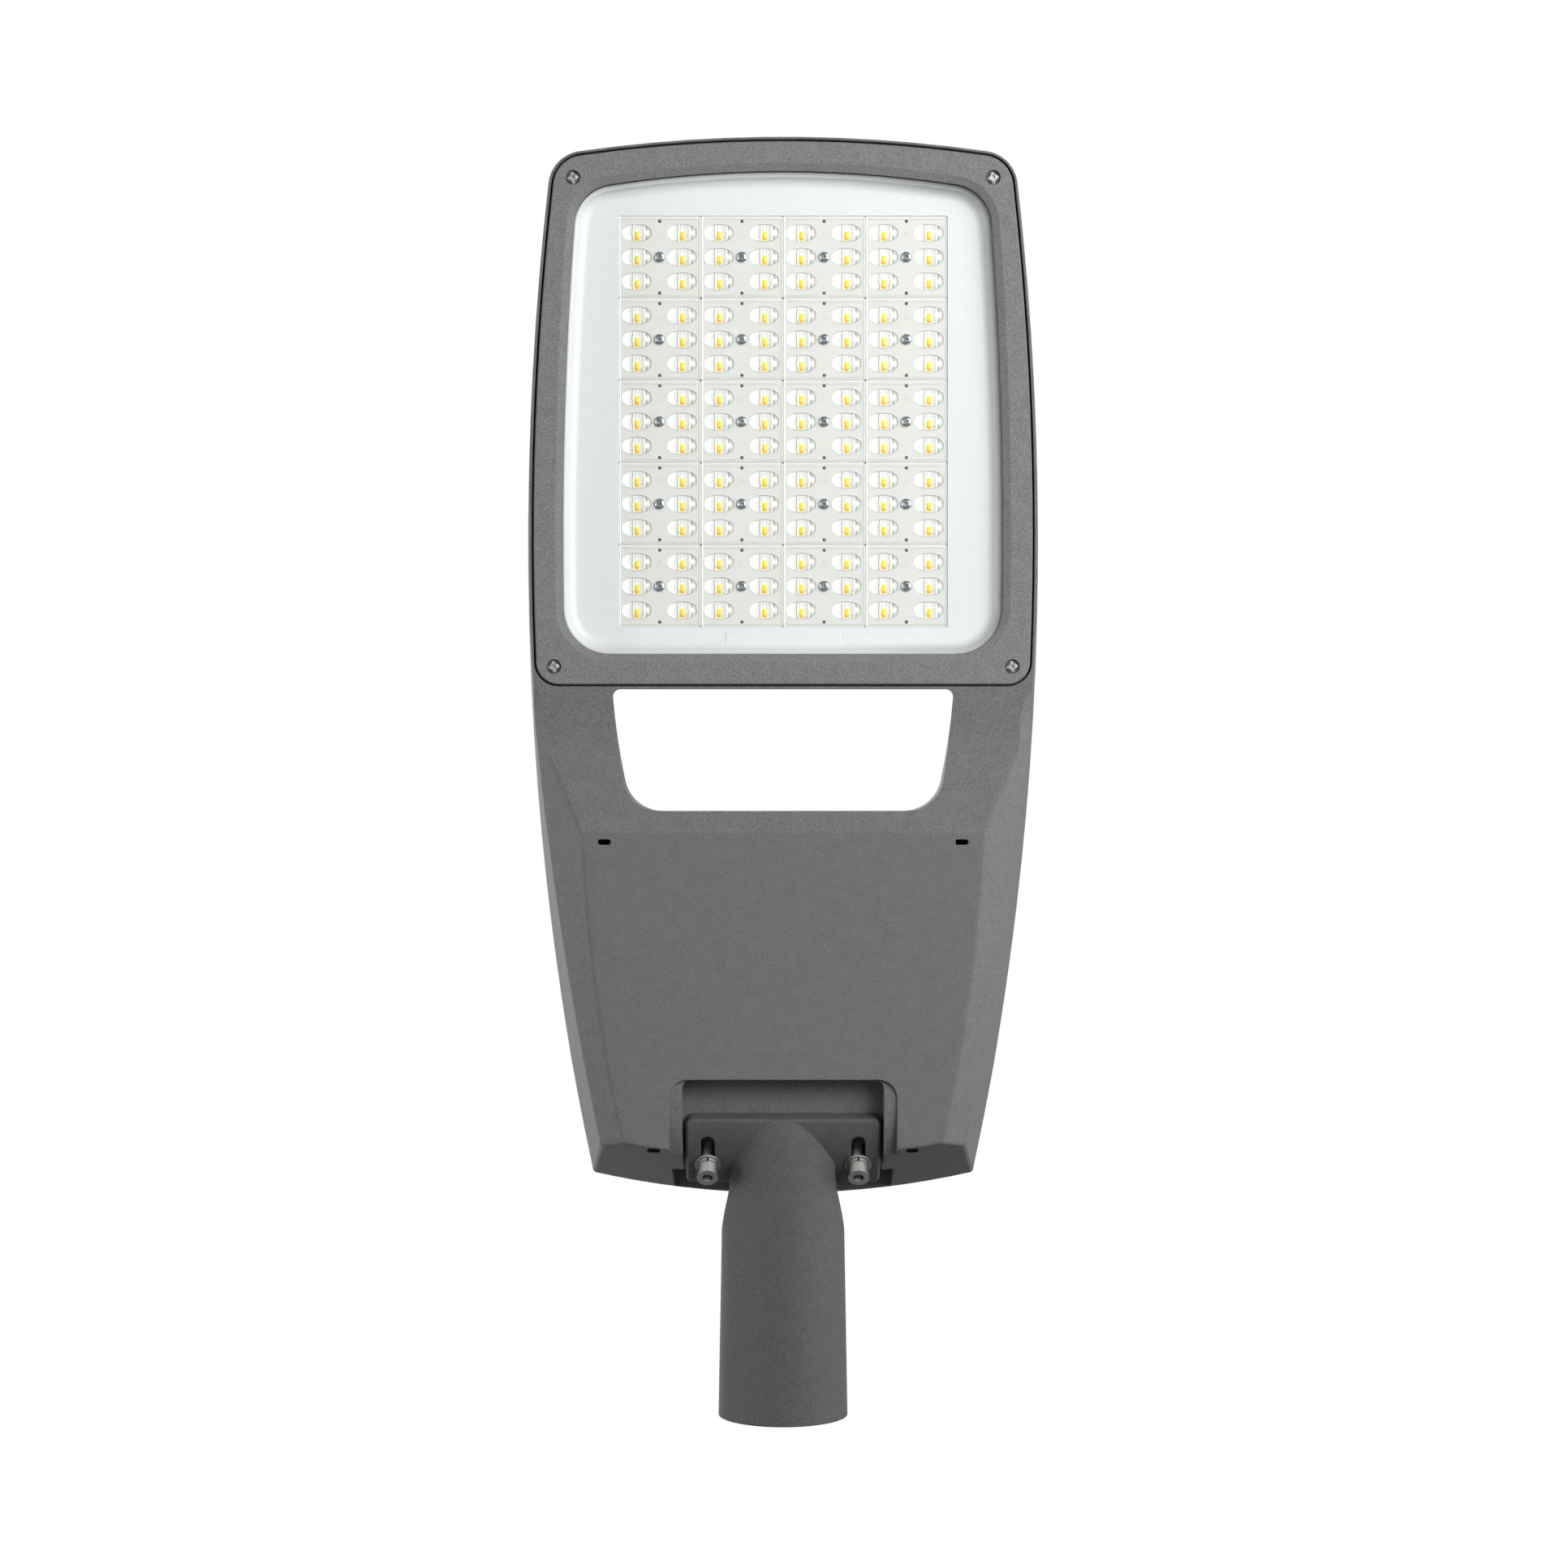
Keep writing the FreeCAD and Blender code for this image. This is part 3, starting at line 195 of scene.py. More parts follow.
WHITE = (1.0, 1.0, 1.0, 1.0)

module_names = sorted(name for name in nodes if name.startswith("lens_module_"))
BOARD_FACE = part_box("led_board_1")[0].z / MM
PLATE_FACE = BOARD_FACE - PLATE_THICKNESS


def centre_of(name):
    low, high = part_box(name)
    return (low + high) / 2 / MM


module_centres = [centre_of(name) for name in module_names]


# Helpers for node trees

def add(tree, kind, **values):
    # A node with its properties and unlinked inputs set; inputs are named by a leading "in_".
    node = tree.nodes.new(kind)
    for key, value in values.items():
        if key.startswith("in_"):
            node.inputs[key[3:].replace("_", " ")].default_value = value
        else:
            setattr(node, key, value)
    return node


def feed(tree, value, socket):
    # Gives an input a number, a colour or another node's output.
    if isinstance(value, (int, float)):
        socket.default_value = value
    elif isinstance(value, tuple):
        socket.default_value = (*value, 1.0)[:len(socket.default_value)]
    else:
        tree.links.new(value, socket)


def math_node(tree, operation, a, b=None, clamp=False):
    node = add(tree, "ShaderNodeMath", operation=operation, use_clamp=clamp)
    feed(tree, a, node.inputs[0])
    if b is not None:
        feed(tree, b, node.inputs[1])
    return node.outputs[0]


def product(tree, *factors):
    result = factors[0]
    for factor in factors[1:]:
        result = math_node(tree, "MULTIPLY", result, factor)
    return result


def remap(tree, value, low, high, to_low=0.0, to_high=1.0, smooth=True):
    node = add(tree, "ShaderNodeMapRange", interpolation_type="SMOOTHSTEP" if smooth else "LINEAR",
               in_From_Min=low, in_From_Max=high, in_To_Min=to_low, in_To_Max=to_high)
    tree.links.new(value, node.inputs["Value"])
    return node.outputs["Result"]


def fade(tree, place, edges, to_low=0.0):
    # From to_low to 1 between two places given in millimetres.
    return remap(tree, place, edges[0] * MM, edges[1] * MM, to_low)


def mix_colour(tree, factor, a, b, blend="MIX"):
    node = add(tree, "ShaderNodeMix", data_type="RGBA", blend_type=blend, clamp_factor=True)
    for socket, value in ((node.inputs[0], factor), (node.inputs[6], a), (node.inputs[7], b)):
        feed(tree, value, socket)
    return node.outputs[2]


def scaled_colour(tree, colour, level):
    node = add(tree, "ShaderNodeVectorMath", operation="SCALE")
    feed(tree, colour, node.inputs[0])
    feed(tree, level, node.inputs["Scale"])
    return node.outputs[0]


def mix_shaders(tree, factor, first, second):
    node = tree.nodes.new("ShaderNodeMixShader")
    for value, socket in zip((factor, first, second), node.inputs):
        tree.links.new(value, socket)
    return node.outputs[0]


def object_place(tree):
    return tree.nodes.new("ShaderNodeTexCoord").outputs["Object"]


def parts_of(tree, vector):
    node = tree.nodes.new("ShaderNodeSeparateXYZ")
    tree.links.new(vector, node.inputs[0])
    return node.outputs


def remembered(tree, name):
    # The three parts of a place that placed_attribute wrote on the mesh.
    node = add(tree, "ShaderNodeAttribute", attribute_name=name)
    return parts_of(tree, node.outputs["Vector"])


def noise(tree, scale, detail, **values):
    node = add(tree, "ShaderNodeTexNoise", in_Scale=scale, in_Detail=detail, **values)
    tree.links.new(object_place(tree), node.inputs["Vector"])
    return node.outputs["Fac"]


def grey_ramp(tree, value, stops, low, high, top=1.0):
    # Grey level that follows a row of (place, level) stops between low and high; top is the brightest.
    node = tree.nodes.new("ShaderNodeValToRGB")
    ramp = node.color_ramp
    while len(ramp.elements) < len(stops):
        ramp.elements.new(0.5)
    for element, (spot, level) in zip(ramp.elements, stops):
        element.position = (spot - low) / (high - low)
        element.color = (level / top, level / top, level / top, 1.0)
    tree.links.new(remap(tree, value, low, high, smooth=False), node.inputs[0])
    return node.outputs[0]


def new_group(name, inputs, outputs):
    tree = bpy.data.node_groups.new(name, "ShaderNodeTree")
    for label, kind, value in inputs:
        socket = tree.interface.new_socket(label, in_out="INPUT", socket_type=kind)
        socket.default_value = value
    for label, kind in outputs:
        tree.interface.new_socket(label, in_out="OUTPUT", socket_type=kind)
    return tree, tree.nodes.new("NodeGroupInput"), tree.nodes.new("NodeGroupOutput")


def use_group(tree, group, **values):
    node = add(tree, "ShaderNodeGroup", node_tree=group)
    for key, value in values.items():
        node.inputs[key.replace("_", " ")].default_value = value
    return node


def new_material(name):
    material = bpy.data.materials.new(name)
    material.use_nodes = True
    tree = material.node_tree
    tree.nodes.clear()
    return material, tree, tree.nodes.new("ShaderNodeOutputMaterial")


# Shared surface effects; the radii that go into a group are metres, the grain sizes millimetres

EDGE_SAMPLES = 6
MOTTLE_SCALE = 120.0
MOTTLE_SWING = 0.09
MOTTLE_ROUGHNESS = 0.15
GRAIN_RELIEF = 0.2

# Painted reflections on turned steel, by how far a surface faces down: side wall, bright rounded rim, end
# face
RIM_LOWEST = -0.2
RIM_REFLECTION_BANDS = (
    (RIM_LOWEST, 0.20), (0.0, 0.24), (0.10, 0.12), (0.35, 0.20), (0.50, 0.55), (0.62, 1.0), (0.76, 1.0),
    (0.84, 0.42), (0.93, 0.30), (1.0, 0.34),
)
# Painted shade: steel that faces the pole is darker than steel that faces the nose
RIM_SHADE_TURNED_AWAY = (0.45, -0.35, 0.35, 1.0)  # facing the pole, facing the nose, and the level at each

# Painted highlights on a domed screw head, by how far it faces down: where its crown begins and ends, and
# its flat top
CROWN_INNER = (0.995, 0.95)
CROWN_OUTER = (0.25, 0.55)
CROWN_TOP = (0.985, 0.999, 0.0, 0.35)
LOBE_EDGE = (0.1, 0.7)
LOBE_LEVEL = 0.9


def make_coat_group():
    # Powder coat: fine grain in the colour and the normal, a slow mottle, softened edges.
    inputs = [
        ("Color", "NodeSocketColor", (0.2, 0.2, 0.2, 1.0)),
        ("Grain Size", "NodeSocketFloat", 0.8),
        ("Grain Contrast", "NodeSocketFloat", 0.1),
        ("Grain Depth", "NodeSocketFloat", 0.3),
        ("Edge Radius", "NodeSocketFloat", 0.6 * MM),
        ("Roughness", "NodeSocketFloat", 0.5),
    ]
    outputs = [
        ("Color", "NodeSocketColor"),
        ("Roughness", "NodeSocketFloat"),
        ("Normal", "NodeSocketVector"),
    ]
    tree, source, sink = new_group("powder_coat", inputs, outputs)
    per_metre = math_node(tree, "DIVIDE", 1 / MM, source.outputs["Grain Size"])
    grain = add(tree, "ShaderNodeTexNoise", in_Detail=2.0, in_Roughness=0.6)
    tree.links.new(object_place(tree), grain.inputs["Vector"])
    tree.links.new(per_metre, grain.inputs["Scale"])
    mottle = noise(tree, MOTTLE_SCALE, 3.0, in_Roughness=0.6)
    fine = remap(tree, grain.outputs["Fac"], 0.2, 0.8, -1.0, 1.0, smooth=False)
    slow = remap(tree, mottle, 0.3, 0.7, -MOTTLE_SWING, MOTTLE_SWING)
    swing = product(tree, math_node(tree, "ADD", fine, slow), source.outputs["Grain Contrast"])
    level = math_node(tree, "ADD", swing, 1.0)
    tree.links.new(scaled_colour(tree, source.outputs["Color"], level), sink.inputs["Color"])
    change = product(tree, slow, MOTTLE_ROUGHNESS)
    rough = math_node(tree, "ADD", source.outputs["Roughness"], change)
    tree.links.new(rough, sink.inputs["Roughness"])
    soft_edge = add(tree, "ShaderNodeBevel", samples=EDGE_SAMPLES)
    tree.links.new(source.outputs["Edge Radius"], soft_edge.inputs["Radius"])
    bump = add(tree, "ShaderNodeBump", in_Distance=GRAIN_RELIEF * MM)
    tree.links.new(source.outputs["Grain Depth"], bump.inputs["Strength"])
    tree.links.new(grain.outputs["Fac"], bump.inputs["Height"])
    tree.links.new(soft_edge.outputs["Normal"], bump.inputs["Normal"])
    tree.links.new(bump.outputs["Normal"], sink.inputs["Normal"])
    return tree


def make_side_group():
    # Painted light and shade for a moulded edge of clear plastic, by the side that it faces.
    inputs = [("Gain", "NodeSocketFloat", 0.3), ("Side", "NodeSocketVector", (-0.78, -0.62, 0.0))]
    tree, source, sink = new_group("painted_edge_light", inputs, [("Level", "NodeSocketFloat")])
    facing = add(tree, "ShaderNodeVectorMath", operation="DOT_PRODUCT")
    tree.links.new(tree.nodes.new("ShaderNodeTexCoord").outputs["Normal"], facing.inputs[0])
    tree.links.new(source.outputs["Side"], facing.inputs[1])
    swing = product(tree, facing.outputs["Value"], source.outputs["Gain"])
    tree.links.new(math_node(tree, "ADD", swing, 1.0), sink.inputs["Level"])
    return tree


def make_rim_group():
    # Painted reflections on steel turned about an upright axis: dull side, bright rounded rim, plain end
    # face, with painted shade on the side that faces the pole.
    inputs = [("Edge Radius", "NodeSocketFloat", 0.5 * MM)]
    tree, source, sink = new_group("painted_rim_reflection", inputs, [("Level", "NodeSocketFloat")])
    soft = add(tree, "ShaderNodeBevel", samples=EDGE_SAMPLES)
    tree.links.new(source.outputs["Edge Radius"], soft.inputs["Radius"])
    normal = parts_of(tree, soft.outputs["Normal"])
    bands = grey_ramp(tree, product(tree, normal[2], -1.0), RIM_REFLECTION_BANDS, RIM_LOWEST, 1.0)
    lit = remap(tree, normal[1], *RIM_SHADE_TURNED_AWAY)
    tree.links.new(product(tree, bands, lit), sink.inputs["Level"])
    return tree


def make_lobe_group():
    # Domed screw head with painted highlights: bright lobes round its crown and a lighter flat top.
    inputs = [("Lobes", "NodeSocketFloat", 4.0), ("Turn", "NodeSocketFloat", 0.6),
              ("Dark", "NodeSocketFloat", 0.2)]
    tree, source, sink = new_group("painted_lobe_highlights", inputs, [("Level", "NodeSocketFloat")])
    soft = add(tree, "ShaderNodeBevel", samples=EDGE_SAMPLES, in_Radius=0.3 * MM)
    x, y, z = parts_of(tree, soft.outputs["Normal"])
    angle = product(tree, math_node(tree, "ARCTAN2", y, x), source.outputs["Lobes"])
    wave = math_node(tree, "COSINE", math_node(tree, "ADD", angle, source.outputs["Turn"]))
    facing = product(tree, z, -1.0)
    crown = product(tree, remap(tree, facing, *CROWN_INNER), remap(tree, facing, *CROWN_OUTER))
    lobes = product(tree, remap(tree, wave, *LOBE_EDGE), crown, LOBE_LEVEL)
    light = math_node(tree, "ADD", lobes, remap(tree, facing, *CROWN_TOP))
    level = math_node(tree, "ADD", light, source.outputs["Dark"], clamp=True)
    tree.links.new(level, sink.inputs["Level"])
    return tree


def make_crease_group():
    # Radius of the housing's softened edges: wide along the broken edge between the flat face and its
    # bevels and round the tail's corners, on the light's side only, and fine everywhere else. It also
    # gives Open, a painted shade on the walls of the see-through window.
    inputs = [("Fine", "NodeSocketFloat", 0.7 * MM), ("Wide", "NodeSocketFloat", 5.5 * MM)]
    outputs = [("Radius", "NodeSocketFloat"), ("Open", "NodeSocketFloat")]
    tree, source, sink = new_group("crease_radius_and_painted_shade", inputs, outputs)
    x, y, z = parts_of(tree, object_place(tree))
    across = math_node(tree, "ABSOLUTE", x)
    past = math_node(tree, "ADD", y, -CREASE_START_Y * MM)
    rear = math_node(tree, "MAXIMUM", past, 0.0)
    fore = math_node(tree, "MINIMUM", past, 0.0)
    drawn_in = math_node(tree, "ADD", product(tree, rear, CREASE_TAIL_SLOPE),
                         product(tree, rear, rear, CREASE_TAIL_BOW))
    straight = math_node(tree, "ADD", math_node(tree, "ADD", across, drawn_in),
                         product(tree, fore, CREASE_NOSE_SLOPE))
    side = product(tree, fade(tree, straight, CREASE_FADE_X), fade(tree, y, CREASE_FADE_Y))
    tail = product(tree, fade(tree, y, TAIL_FADE_Y), fade(tree, across, TAIL_FADE_X),
                   fade(tree, across, TAIL_CORNER_X, TAIL_INNER_SHARE))
    both = product(tree, math_node(tree, "MAXIMUM", side, tail), fade(tree, z, UNDERSIDE_Z))
    span = math_node(tree, "SUBTRACT", source.outputs["Wide"], source.outputs["Fine"])
    radius = math_node(tree, "ADD", product(tree, span, both), source.outputs["Fine"])
    tree.links.new(radius, sink.inputs["Radius"])
    # Open is a painted shade: the share of its colour that a surface keeps, less on the walls of the
    # see-through window.
    well = product(tree, fade(tree, z, WELL_LOW_Z), fade(tree, z, WELL_HIGH_Z),
                   fade(tree, across, WELL_SIDE_X), fade(tree, y, WELL_FRONT_Y), fade(tree, y, WELL_REAR_Y))
    open_share = math_node(tree, "SUBTRACT", 1.0, product(tree, well, WELL_SHADE))
    tree.links.new(open_share, sink.inputs["Open"])
    return tree


coat_group = make_coat_group()
painted_side_light_group = make_side_group()
crease_and_shade_group = make_crease_group()
rim_reflection_group = make_rim_group()
lobe_highlight_group = make_lobe_group()


# Finishes

def coat_layer(tree, colour, roughness, grain_size, contrast, depth, edge):
    return use_group(tree, coat_group, Color=(*colour, 1.0), Roughness=roughness, Grain_Size=grain_size,
                     Grain_Contrast=contrast, Grain_Depth=depth, Edge_Radius=edge * MM)


def surface(tree, out, coat, colour, **values):
    # Plain surface with the coat's roughness and normal under the given colour.
    shader = add(tree, "ShaderNodeBsdfPrincipled", **values)
    tree.links.new(colour, shader.inputs["Base Color"])
    tree.links.new(coat.outputs["Roughness"], shader.inputs["Roughness"])
    tree.links.new(coat.outputs["Normal"], shader.inputs["Normal"])
    tree.links.new(shader.outputs[0], out.inputs[0])


def coated(name, colour, roughness, grain_size, contrast, depth, specular, edge, creased=False):
    material, tree, out = new_material(name)
    coat = coat_layer(tree, colour, roughness, grain_size, contrast, depth, edge)
    painted = coat.outputs["Color"]
    if creased:
        crease = use_group(tree, crease_and_shade_group, Fine=edge * MM)
        tree.links.new(crease.outputs["Radius"], coat.inputs["Edge Radius"])
        # Open darkens the colour: a painted shade on the walls of the see-through window
        painted = scaled_colour(tree, painted, crease.outputs["Open"])
    surface(tree, out, coat, painted, in_Specular_IOR_Level=specular)
    return material


def plastic(name, colour, roughness, contrast=0.02):
    return coated(name, colour, roughness, 2.5, contrast, 0.03, specular=0.5, edge=0.6)


def metal(name, colour, roughness):
    material, tree, out = new_material(name)
    coat = coat_layer(tree, colour, roughness, 0.5, 0.08, 0.06, edge=0.3)
    surface(tree, out, coat, coat.outputs["Color"], in_Metallic=1.0)
    return material


def sheen_metal(name, colour, roughness, sheen, **settings):
    # Metal with painted reflections from a sheen group, so that small parts keep their contrast.
    material, tree, out = new_material(name)
    coat = coat_layer(tree, colour, roughness, 0.4, 0.10, 0.10, edge=0.4)
    level = use_group(tree, sheen, **settings).outputs["Level"]
    surface(tree, out, coat, scaled_colour(tree, coat.outputs["Color"], level), in_Metallic=0.45)
    return material


def tray_plastic(name):
    # White moulded dish with a painted shade along its rim, where the frame's lip shades it, more on the
    # right.
    material, tree, out = new_material(name)
    coat = coat_layer(tree, (0.850, 0.865, 0.885), 0.32, 2.5, 0.02, 0.03, edge=0.6)
    inset = add(tree, "ShaderNodeAttribute", attribute_name="rim_inset").outputs["Fac"]
    near_rim = remap(tree, inset, DISH_INSET - 0.1, DISH_INSET + DISH_WIDTH + 0.4, 1.0, 0.0)
    x = parts_of(tree, object_place(tree))[0]
    most = remap(tree, x, RIM_SHADE_X[0] * MM, RIM_SHADE_X[1] * MM, *RIM_SHADE)
    level = math_node(tree, "SUBTRACT", 1.0, product(tree, near_rim, most))
    surface(tree, out, coat, scaled_colour(tree, coat.outputs["Color"], level), in_Specular_IOR_Level=0.5)
    return material


def clear_sheet(name, tint):
    # Thin clear sheet: light passes straight through, only the face that it enters by reflects a little.
    material, tree, out = new_material(name)
    passing = add(tree, "ShaderNodeBsdfTransparent", in_Color=(*tint, 1.0))
    glint = tree.nodes.new("ShaderNodeBsdfGlossy")
    smear = remap(tree, noise(tree, 30.0, 2.0), 0.3, 0.7, 0.02, 0.05)
    tree.links.new(smear, glint.inputs["Roughness"])
    fresnel = add(tree, "ShaderNodeFresnel", in_IOR=1.45)
    seen = tree.nodes.new("ShaderNodeLightPath").outputs["Is Camera Ray"]
    inner_face = tree.nodes.new("ShaderNodeNewGeometry").outputs["Backfacing"]
    entered = math_node(tree, "MAXIMUM", math_node(tree, "SUBTRACT", seen, inner_face), 0.0)
    share = product(tree, fresnel.outputs[0], entered)
    whole = mix_shaders(tree, share, passing.outputs[0], glint.outputs[0])
    tree.links.new(whole, out.inputs[0])
    return material


def clear_lens(name):
    # Clear dome: what lies under it shows through, with a painted shade line round its right and lower
    # foot, a white foot ring with painted highlights towards both ends and a weak reflection. In
    # lens_place, share is 1 at the foot and 0 at the top.
    material, tree, out = new_material(name)
    u, v, share = remembered(tree, "lens_place")
    side = math_node(tree, "ADD", product(tree, u, 0.62), product(tree, v, 0.7))
    low_right = remap(tree, side, -0.05, 0.62)
    foot_line = product(tree, remap(tree, share, 0.90, 0.975), remap(tree, share, 1.015, 0.985))
    painted_shade_line = product(tree, foot_line, low_right, 0.22)
    passing = tree.nodes.new("ShaderNodeBsdfTransparent")
    tint = mix_colour(tree, painted_shade_line, (0.99, 0.995, 0.99), (0.30, 0.30, 0.30))
    tree.links.new(tint, passing.inputs["Color"])
    bump = add(tree, "ShaderNodeBump", in_Strength=0.12, in_Distance=0.3 * MM)
    tree.links.new(noise(tree, 420.0, 2.0), bump.inputs["Height"])
    glint = add(tree, "ShaderNodeBsdfGlossy", in_Roughness=0.12)
    tree.links.new(bump.outputs["Normal"], glint.inputs["Normal"])
    fresnel = add(tree, "ShaderNodeFresnel", in_IOR=1.38)
    path = tree.nodes.new("ShaderNodeLightPath")
    seen = product(tree, fresnel.outputs[0], path.outputs["Is Camera Ray"])
    clear = mix_shaders(tree, seen, passing.outputs[0], glint.outputs[0])
    ring = add(tree, "ShaderNodeBsdfPrincipled", in_Roughness=0.25)
    ring_highlight = remap(tree, math_node(tree, "ABSOLUTE", u), 0.45, 0.85, 0.78, 1.0)
    tree.links.new(scaled_colour(tree, (1.0, 1.0, 0.985), ring_highlight), ring.inputs["Base Color"])
    outside = remap(tree, share, 1.0, 1.012)
    tree.links.new(mix_shaders(tree, outside, clear, ring.outputs[0]), out.inputs[0])
    return material


def optic_plate(name):
    # Milky clear plastic with painted light on its moulded edges, brighter on the side away from the
    # window, and painted highlight and shade lines along its rims.
    material, tree, out = new_material(name)
    coat = coat_layer(tree, (0.825, 0.82, 0.795), 0.24, 3.5, 0.02, 0.02, edge=0.2)
    edges = use_group(tree, painted_side_light_group, Gain=0.10)
    place = remembered(tree, "plate_place")
    across = grey_ramp(tree, place[0], PLATE_LIGHT_LINES_ACROSS, -PLATE_REACH, PLATE_REACH, PLATE_BRIGHTEST)
    along = grey_ramp(tree, place[1], PLATE_LIGHT_LINES_ALONG, -PLATE_REACH, PLATE_REACH, PLATE_BRIGHTEST)
    level = product(tree, across, along, PLATE_BRIGHTEST ** 2, edges.outputs["Level"])
    surface(tree, out, coat, scaled_colour(tree, coat.outputs["Color"], level), in_Specular_IOR_Level=0.4)
    return material


def chip_distance(tree, u, v):
    # 1 on the outline of the chip and more outside it.
    offs = []
    for part, shift, half, lens_half in ((u, CHIP_SHIFT[0], CHIP_HALF[0], LENS_HALF_LENGTH),
                                         (v, CHIP_SHIFT[1], CHIP_HALF[1], LENS_HALF_WIDTH)):
        off = math_node(tree, "SUBTRACT", part, shift / lens_half)
        offs.append(math_node(tree, "ABSOLUTE", math_node(tree, "DIVIDE", off, half / lens_half)))
    return math_node(tree, "MAXIMUM", *offs)


def lens_bed(name):
    # What is seen through a lens, painted with its light: a white cap of painted light on the left, upright
    # painted light and shade bands, a paler right end, a painted halo above the chip, a painted glow round
    # it and a weak glow of its own. u and v run from -1 to 1 along and across the lens.
    material, tree, out = new_material(name)
    u, v = remembered(tree, "lens_place")[:2]
    drift = remap(tree, noise(tree, 260.0, 2.0), 0.3, 0.7, -0.02, 0.02, smooth=False)
    pinch = math_node(tree, "ADD", product(tree, v, v, 0.14), 1.0)
    along = math_node(tree, "ADD", product(tree, u, pinch), drift)
    bands = grey_ramp(tree, along, LENS_LIGHT_BANDS, -1.0, 1.0)
    colour = mix_colour(tree, 1.0, bands, (1.0, 0.995, 0.975), "MULTIPLY")
    low_middle = product(tree, remap(tree, v, 0.15, 0.6), remap(tree, u, 0.55, 0.4),
                         remap(tree, u, -0.5, -0.3))
    specks = product(tree, remap(tree, noise(tree, 700.0, 1.0), 0.5, 0.62), low_middle, 0.5)
    colour = mix_colour(tree, specks, colour, (0.40, 0.38, 0.36))
    right_end = product(tree, remap(tree, u, 0.56, 0.60), remap(tree, u, 0.90, 0.80),
                        remap(tree, math_node(tree, "ABSOLUTE", v), 0.45, 0.15))
    colour = mix_colour(tree, right_end, colour, (0.93, 0.90, 0.88))
    painted_halo = product(tree, remap(tree, u, -0.12, -0.05), remap(tree, u, 0.18, 0.11),
                         remap(tree, v, -0.62, -0.30), remap(tree, v, 0.15, 0.0))
    colour = mix_colour(tree, painted_halo, colour, (0.97, 0.97, 0.96))
    painted_glow = product(tree, remap(tree, chip_distance(tree, u, v), 1.42, 1.0), 0.75)
    colour = mix_colour(tree, painted_glow, colour, (1.0, 0.86, 0.34))
    # Painted glow: a weak emission makes the bed shine, though the lamp head is off
    shader = add(tree, "ShaderNodeBsdfPrincipled", in_Roughness=0.4, in_Specular_IOR_Level=0.3,
                 in_Emission_Strength=0.13)
    tree.links.new(colour, shader.inputs["Base Color"])
    tree.links.new(colour, shader.inputs["Emission Color"])
    tree.links.new(shader.outputs[0], out.inputs[0])
    return material


def phosphor(name):
    # Yellow phosphor, more orange towards its spigot end, with a weak painted glow though the lamp is off.
    material, tree, out = new_material(name)
    along_y = remembered(tree, "lens_place")[1]
    colour = mix_colour(tree, remap(tree, along_y, 0.25, 0.85), (1.0, 0.80, 0.10), (1.0, 0.50, 0.07))
    shader = add(tree, "ShaderNodeBsdfPrincipled", in_Roughness=0.45, in_Emission_Strength=0.10)
    tree.links.new(colour, shader.inputs["Base Color"])
    tree.links.new(colour, shader.inputs["Emission Color"])
    tree.links.new(shader.outputs[0], out.inputs[0])
    return material


finishes = {
    "grey_coat": coated("grey_coat_look", (0.142, 0.147, 0.151), roughness=0.80, grain_size=0.75,
                        contrast=0.52, depth=0.20, specular=0.35, edge=0.7, creased=True),
    "dark_coat": coated("dark_coat_look", (0.089, 0.093, 0.095), roughness=0.78, grain_size=0.75,
                        contrast=0.48, depth=0.20, specular=0.35, edge=1.5),
    "clear_glass": clear_sheet("clear_glass_look", (0.985, 0.99, 0.985)),
    "clear_optic": optic_plate("optic_plate_look"),
    "white_plastic": tray_plastic("white_plastic_look"),
    "board_white": plastic("board_look", (0.90, 0.90, 0.88), 0.35),
    "led_phosphor": phosphor("phosphor"),
    "silicone": plastic("silicone_look", (0.04, 0.04, 0.042), 0.6, contrast=0.1),
    "stainless": sheen_metal("stainless_look", (0.90, 0.90, 0.90), 0.25, lobe_highlight_group, Lobes=4.0, Dark=0.26),
    "zinc_steel": sheen_metal("clamp_steel_look", (0.62, 0.60, 0.58), 0.32, rim_reflection_group,
                              Edge_Radius=0.7 * MM),
    "driver_case": metal("driver_case_look", (0.6, 0.6, 0.61), 0.4),
    "terminal_plastic": plastic("terminal_look", (0.7, 0.7, 0.66), 0.4),
    "surge_plastic": plastic("surge_look", (0.03, 0.033, 0.04), 0.45),
}
# The glass frame wears a lighter copy of the grey coat: painted light, as the frame shows brighter than the
# housing
lit_frame_coat = coated("frame_coat_lit_copy_look", (0.188, 0.189, 0.191), roughness=0.80, grain_size=0.75,
                    contrast=0.52, depth=0.20, specular=0.35, edge=0.6)
lens_look = clear_lens("lens_glass")
bed_look = lens_bed("lens_bed")
lens_screw_look = sheen_metal("lens_screw_look", (0.80, 0.88, 0.96), 0.25, lobe_highlight_group, Lobes=2.0,
                              Turn=0.2, Dark=0.32)
peg_look = plastic("peg_look", (0.12, 0.12, 0.115), 0.35)

slot_of = {row["node"]: row["material_slot"] for row in frame["record"]["subparts"]}
for name, node in nodes.items():
    node.data.materials.clear()
    node.data.materials.append(lit_frame_coat if name == "glass_frame" else finishes[slot_of[name]])


# Helpers for meshes

def scene_object(name, data, material=None):
    obj = bpy.data.objects.new(name, data)
    bpy.context.scene.collection.objects.link(obj)
    if material is not None:
        data.materials.clear()
        data.materials.append(material)
    return obj


def mesh_from_bmesh(name, bm, smooth=True):
    bmesh.ops.recalc_face_normals(bm, faces=bm.faces)
    mesh = bpy.data.meshes.new(name)
    bm.to_mesh(mesh)
    bm.free()
    for polygon in mesh.polygons:
        polygon.use_smooth = smooth
    return mesh


def plain_copy(obj):
    # The mesh that an object's modifiers or curve settings give.
    bpy.context.view_layer.update()
    return bpy.data.meshes.new_from_object(obj.evaluated_get(bpy.context.evaluated_depsgraph_get()))


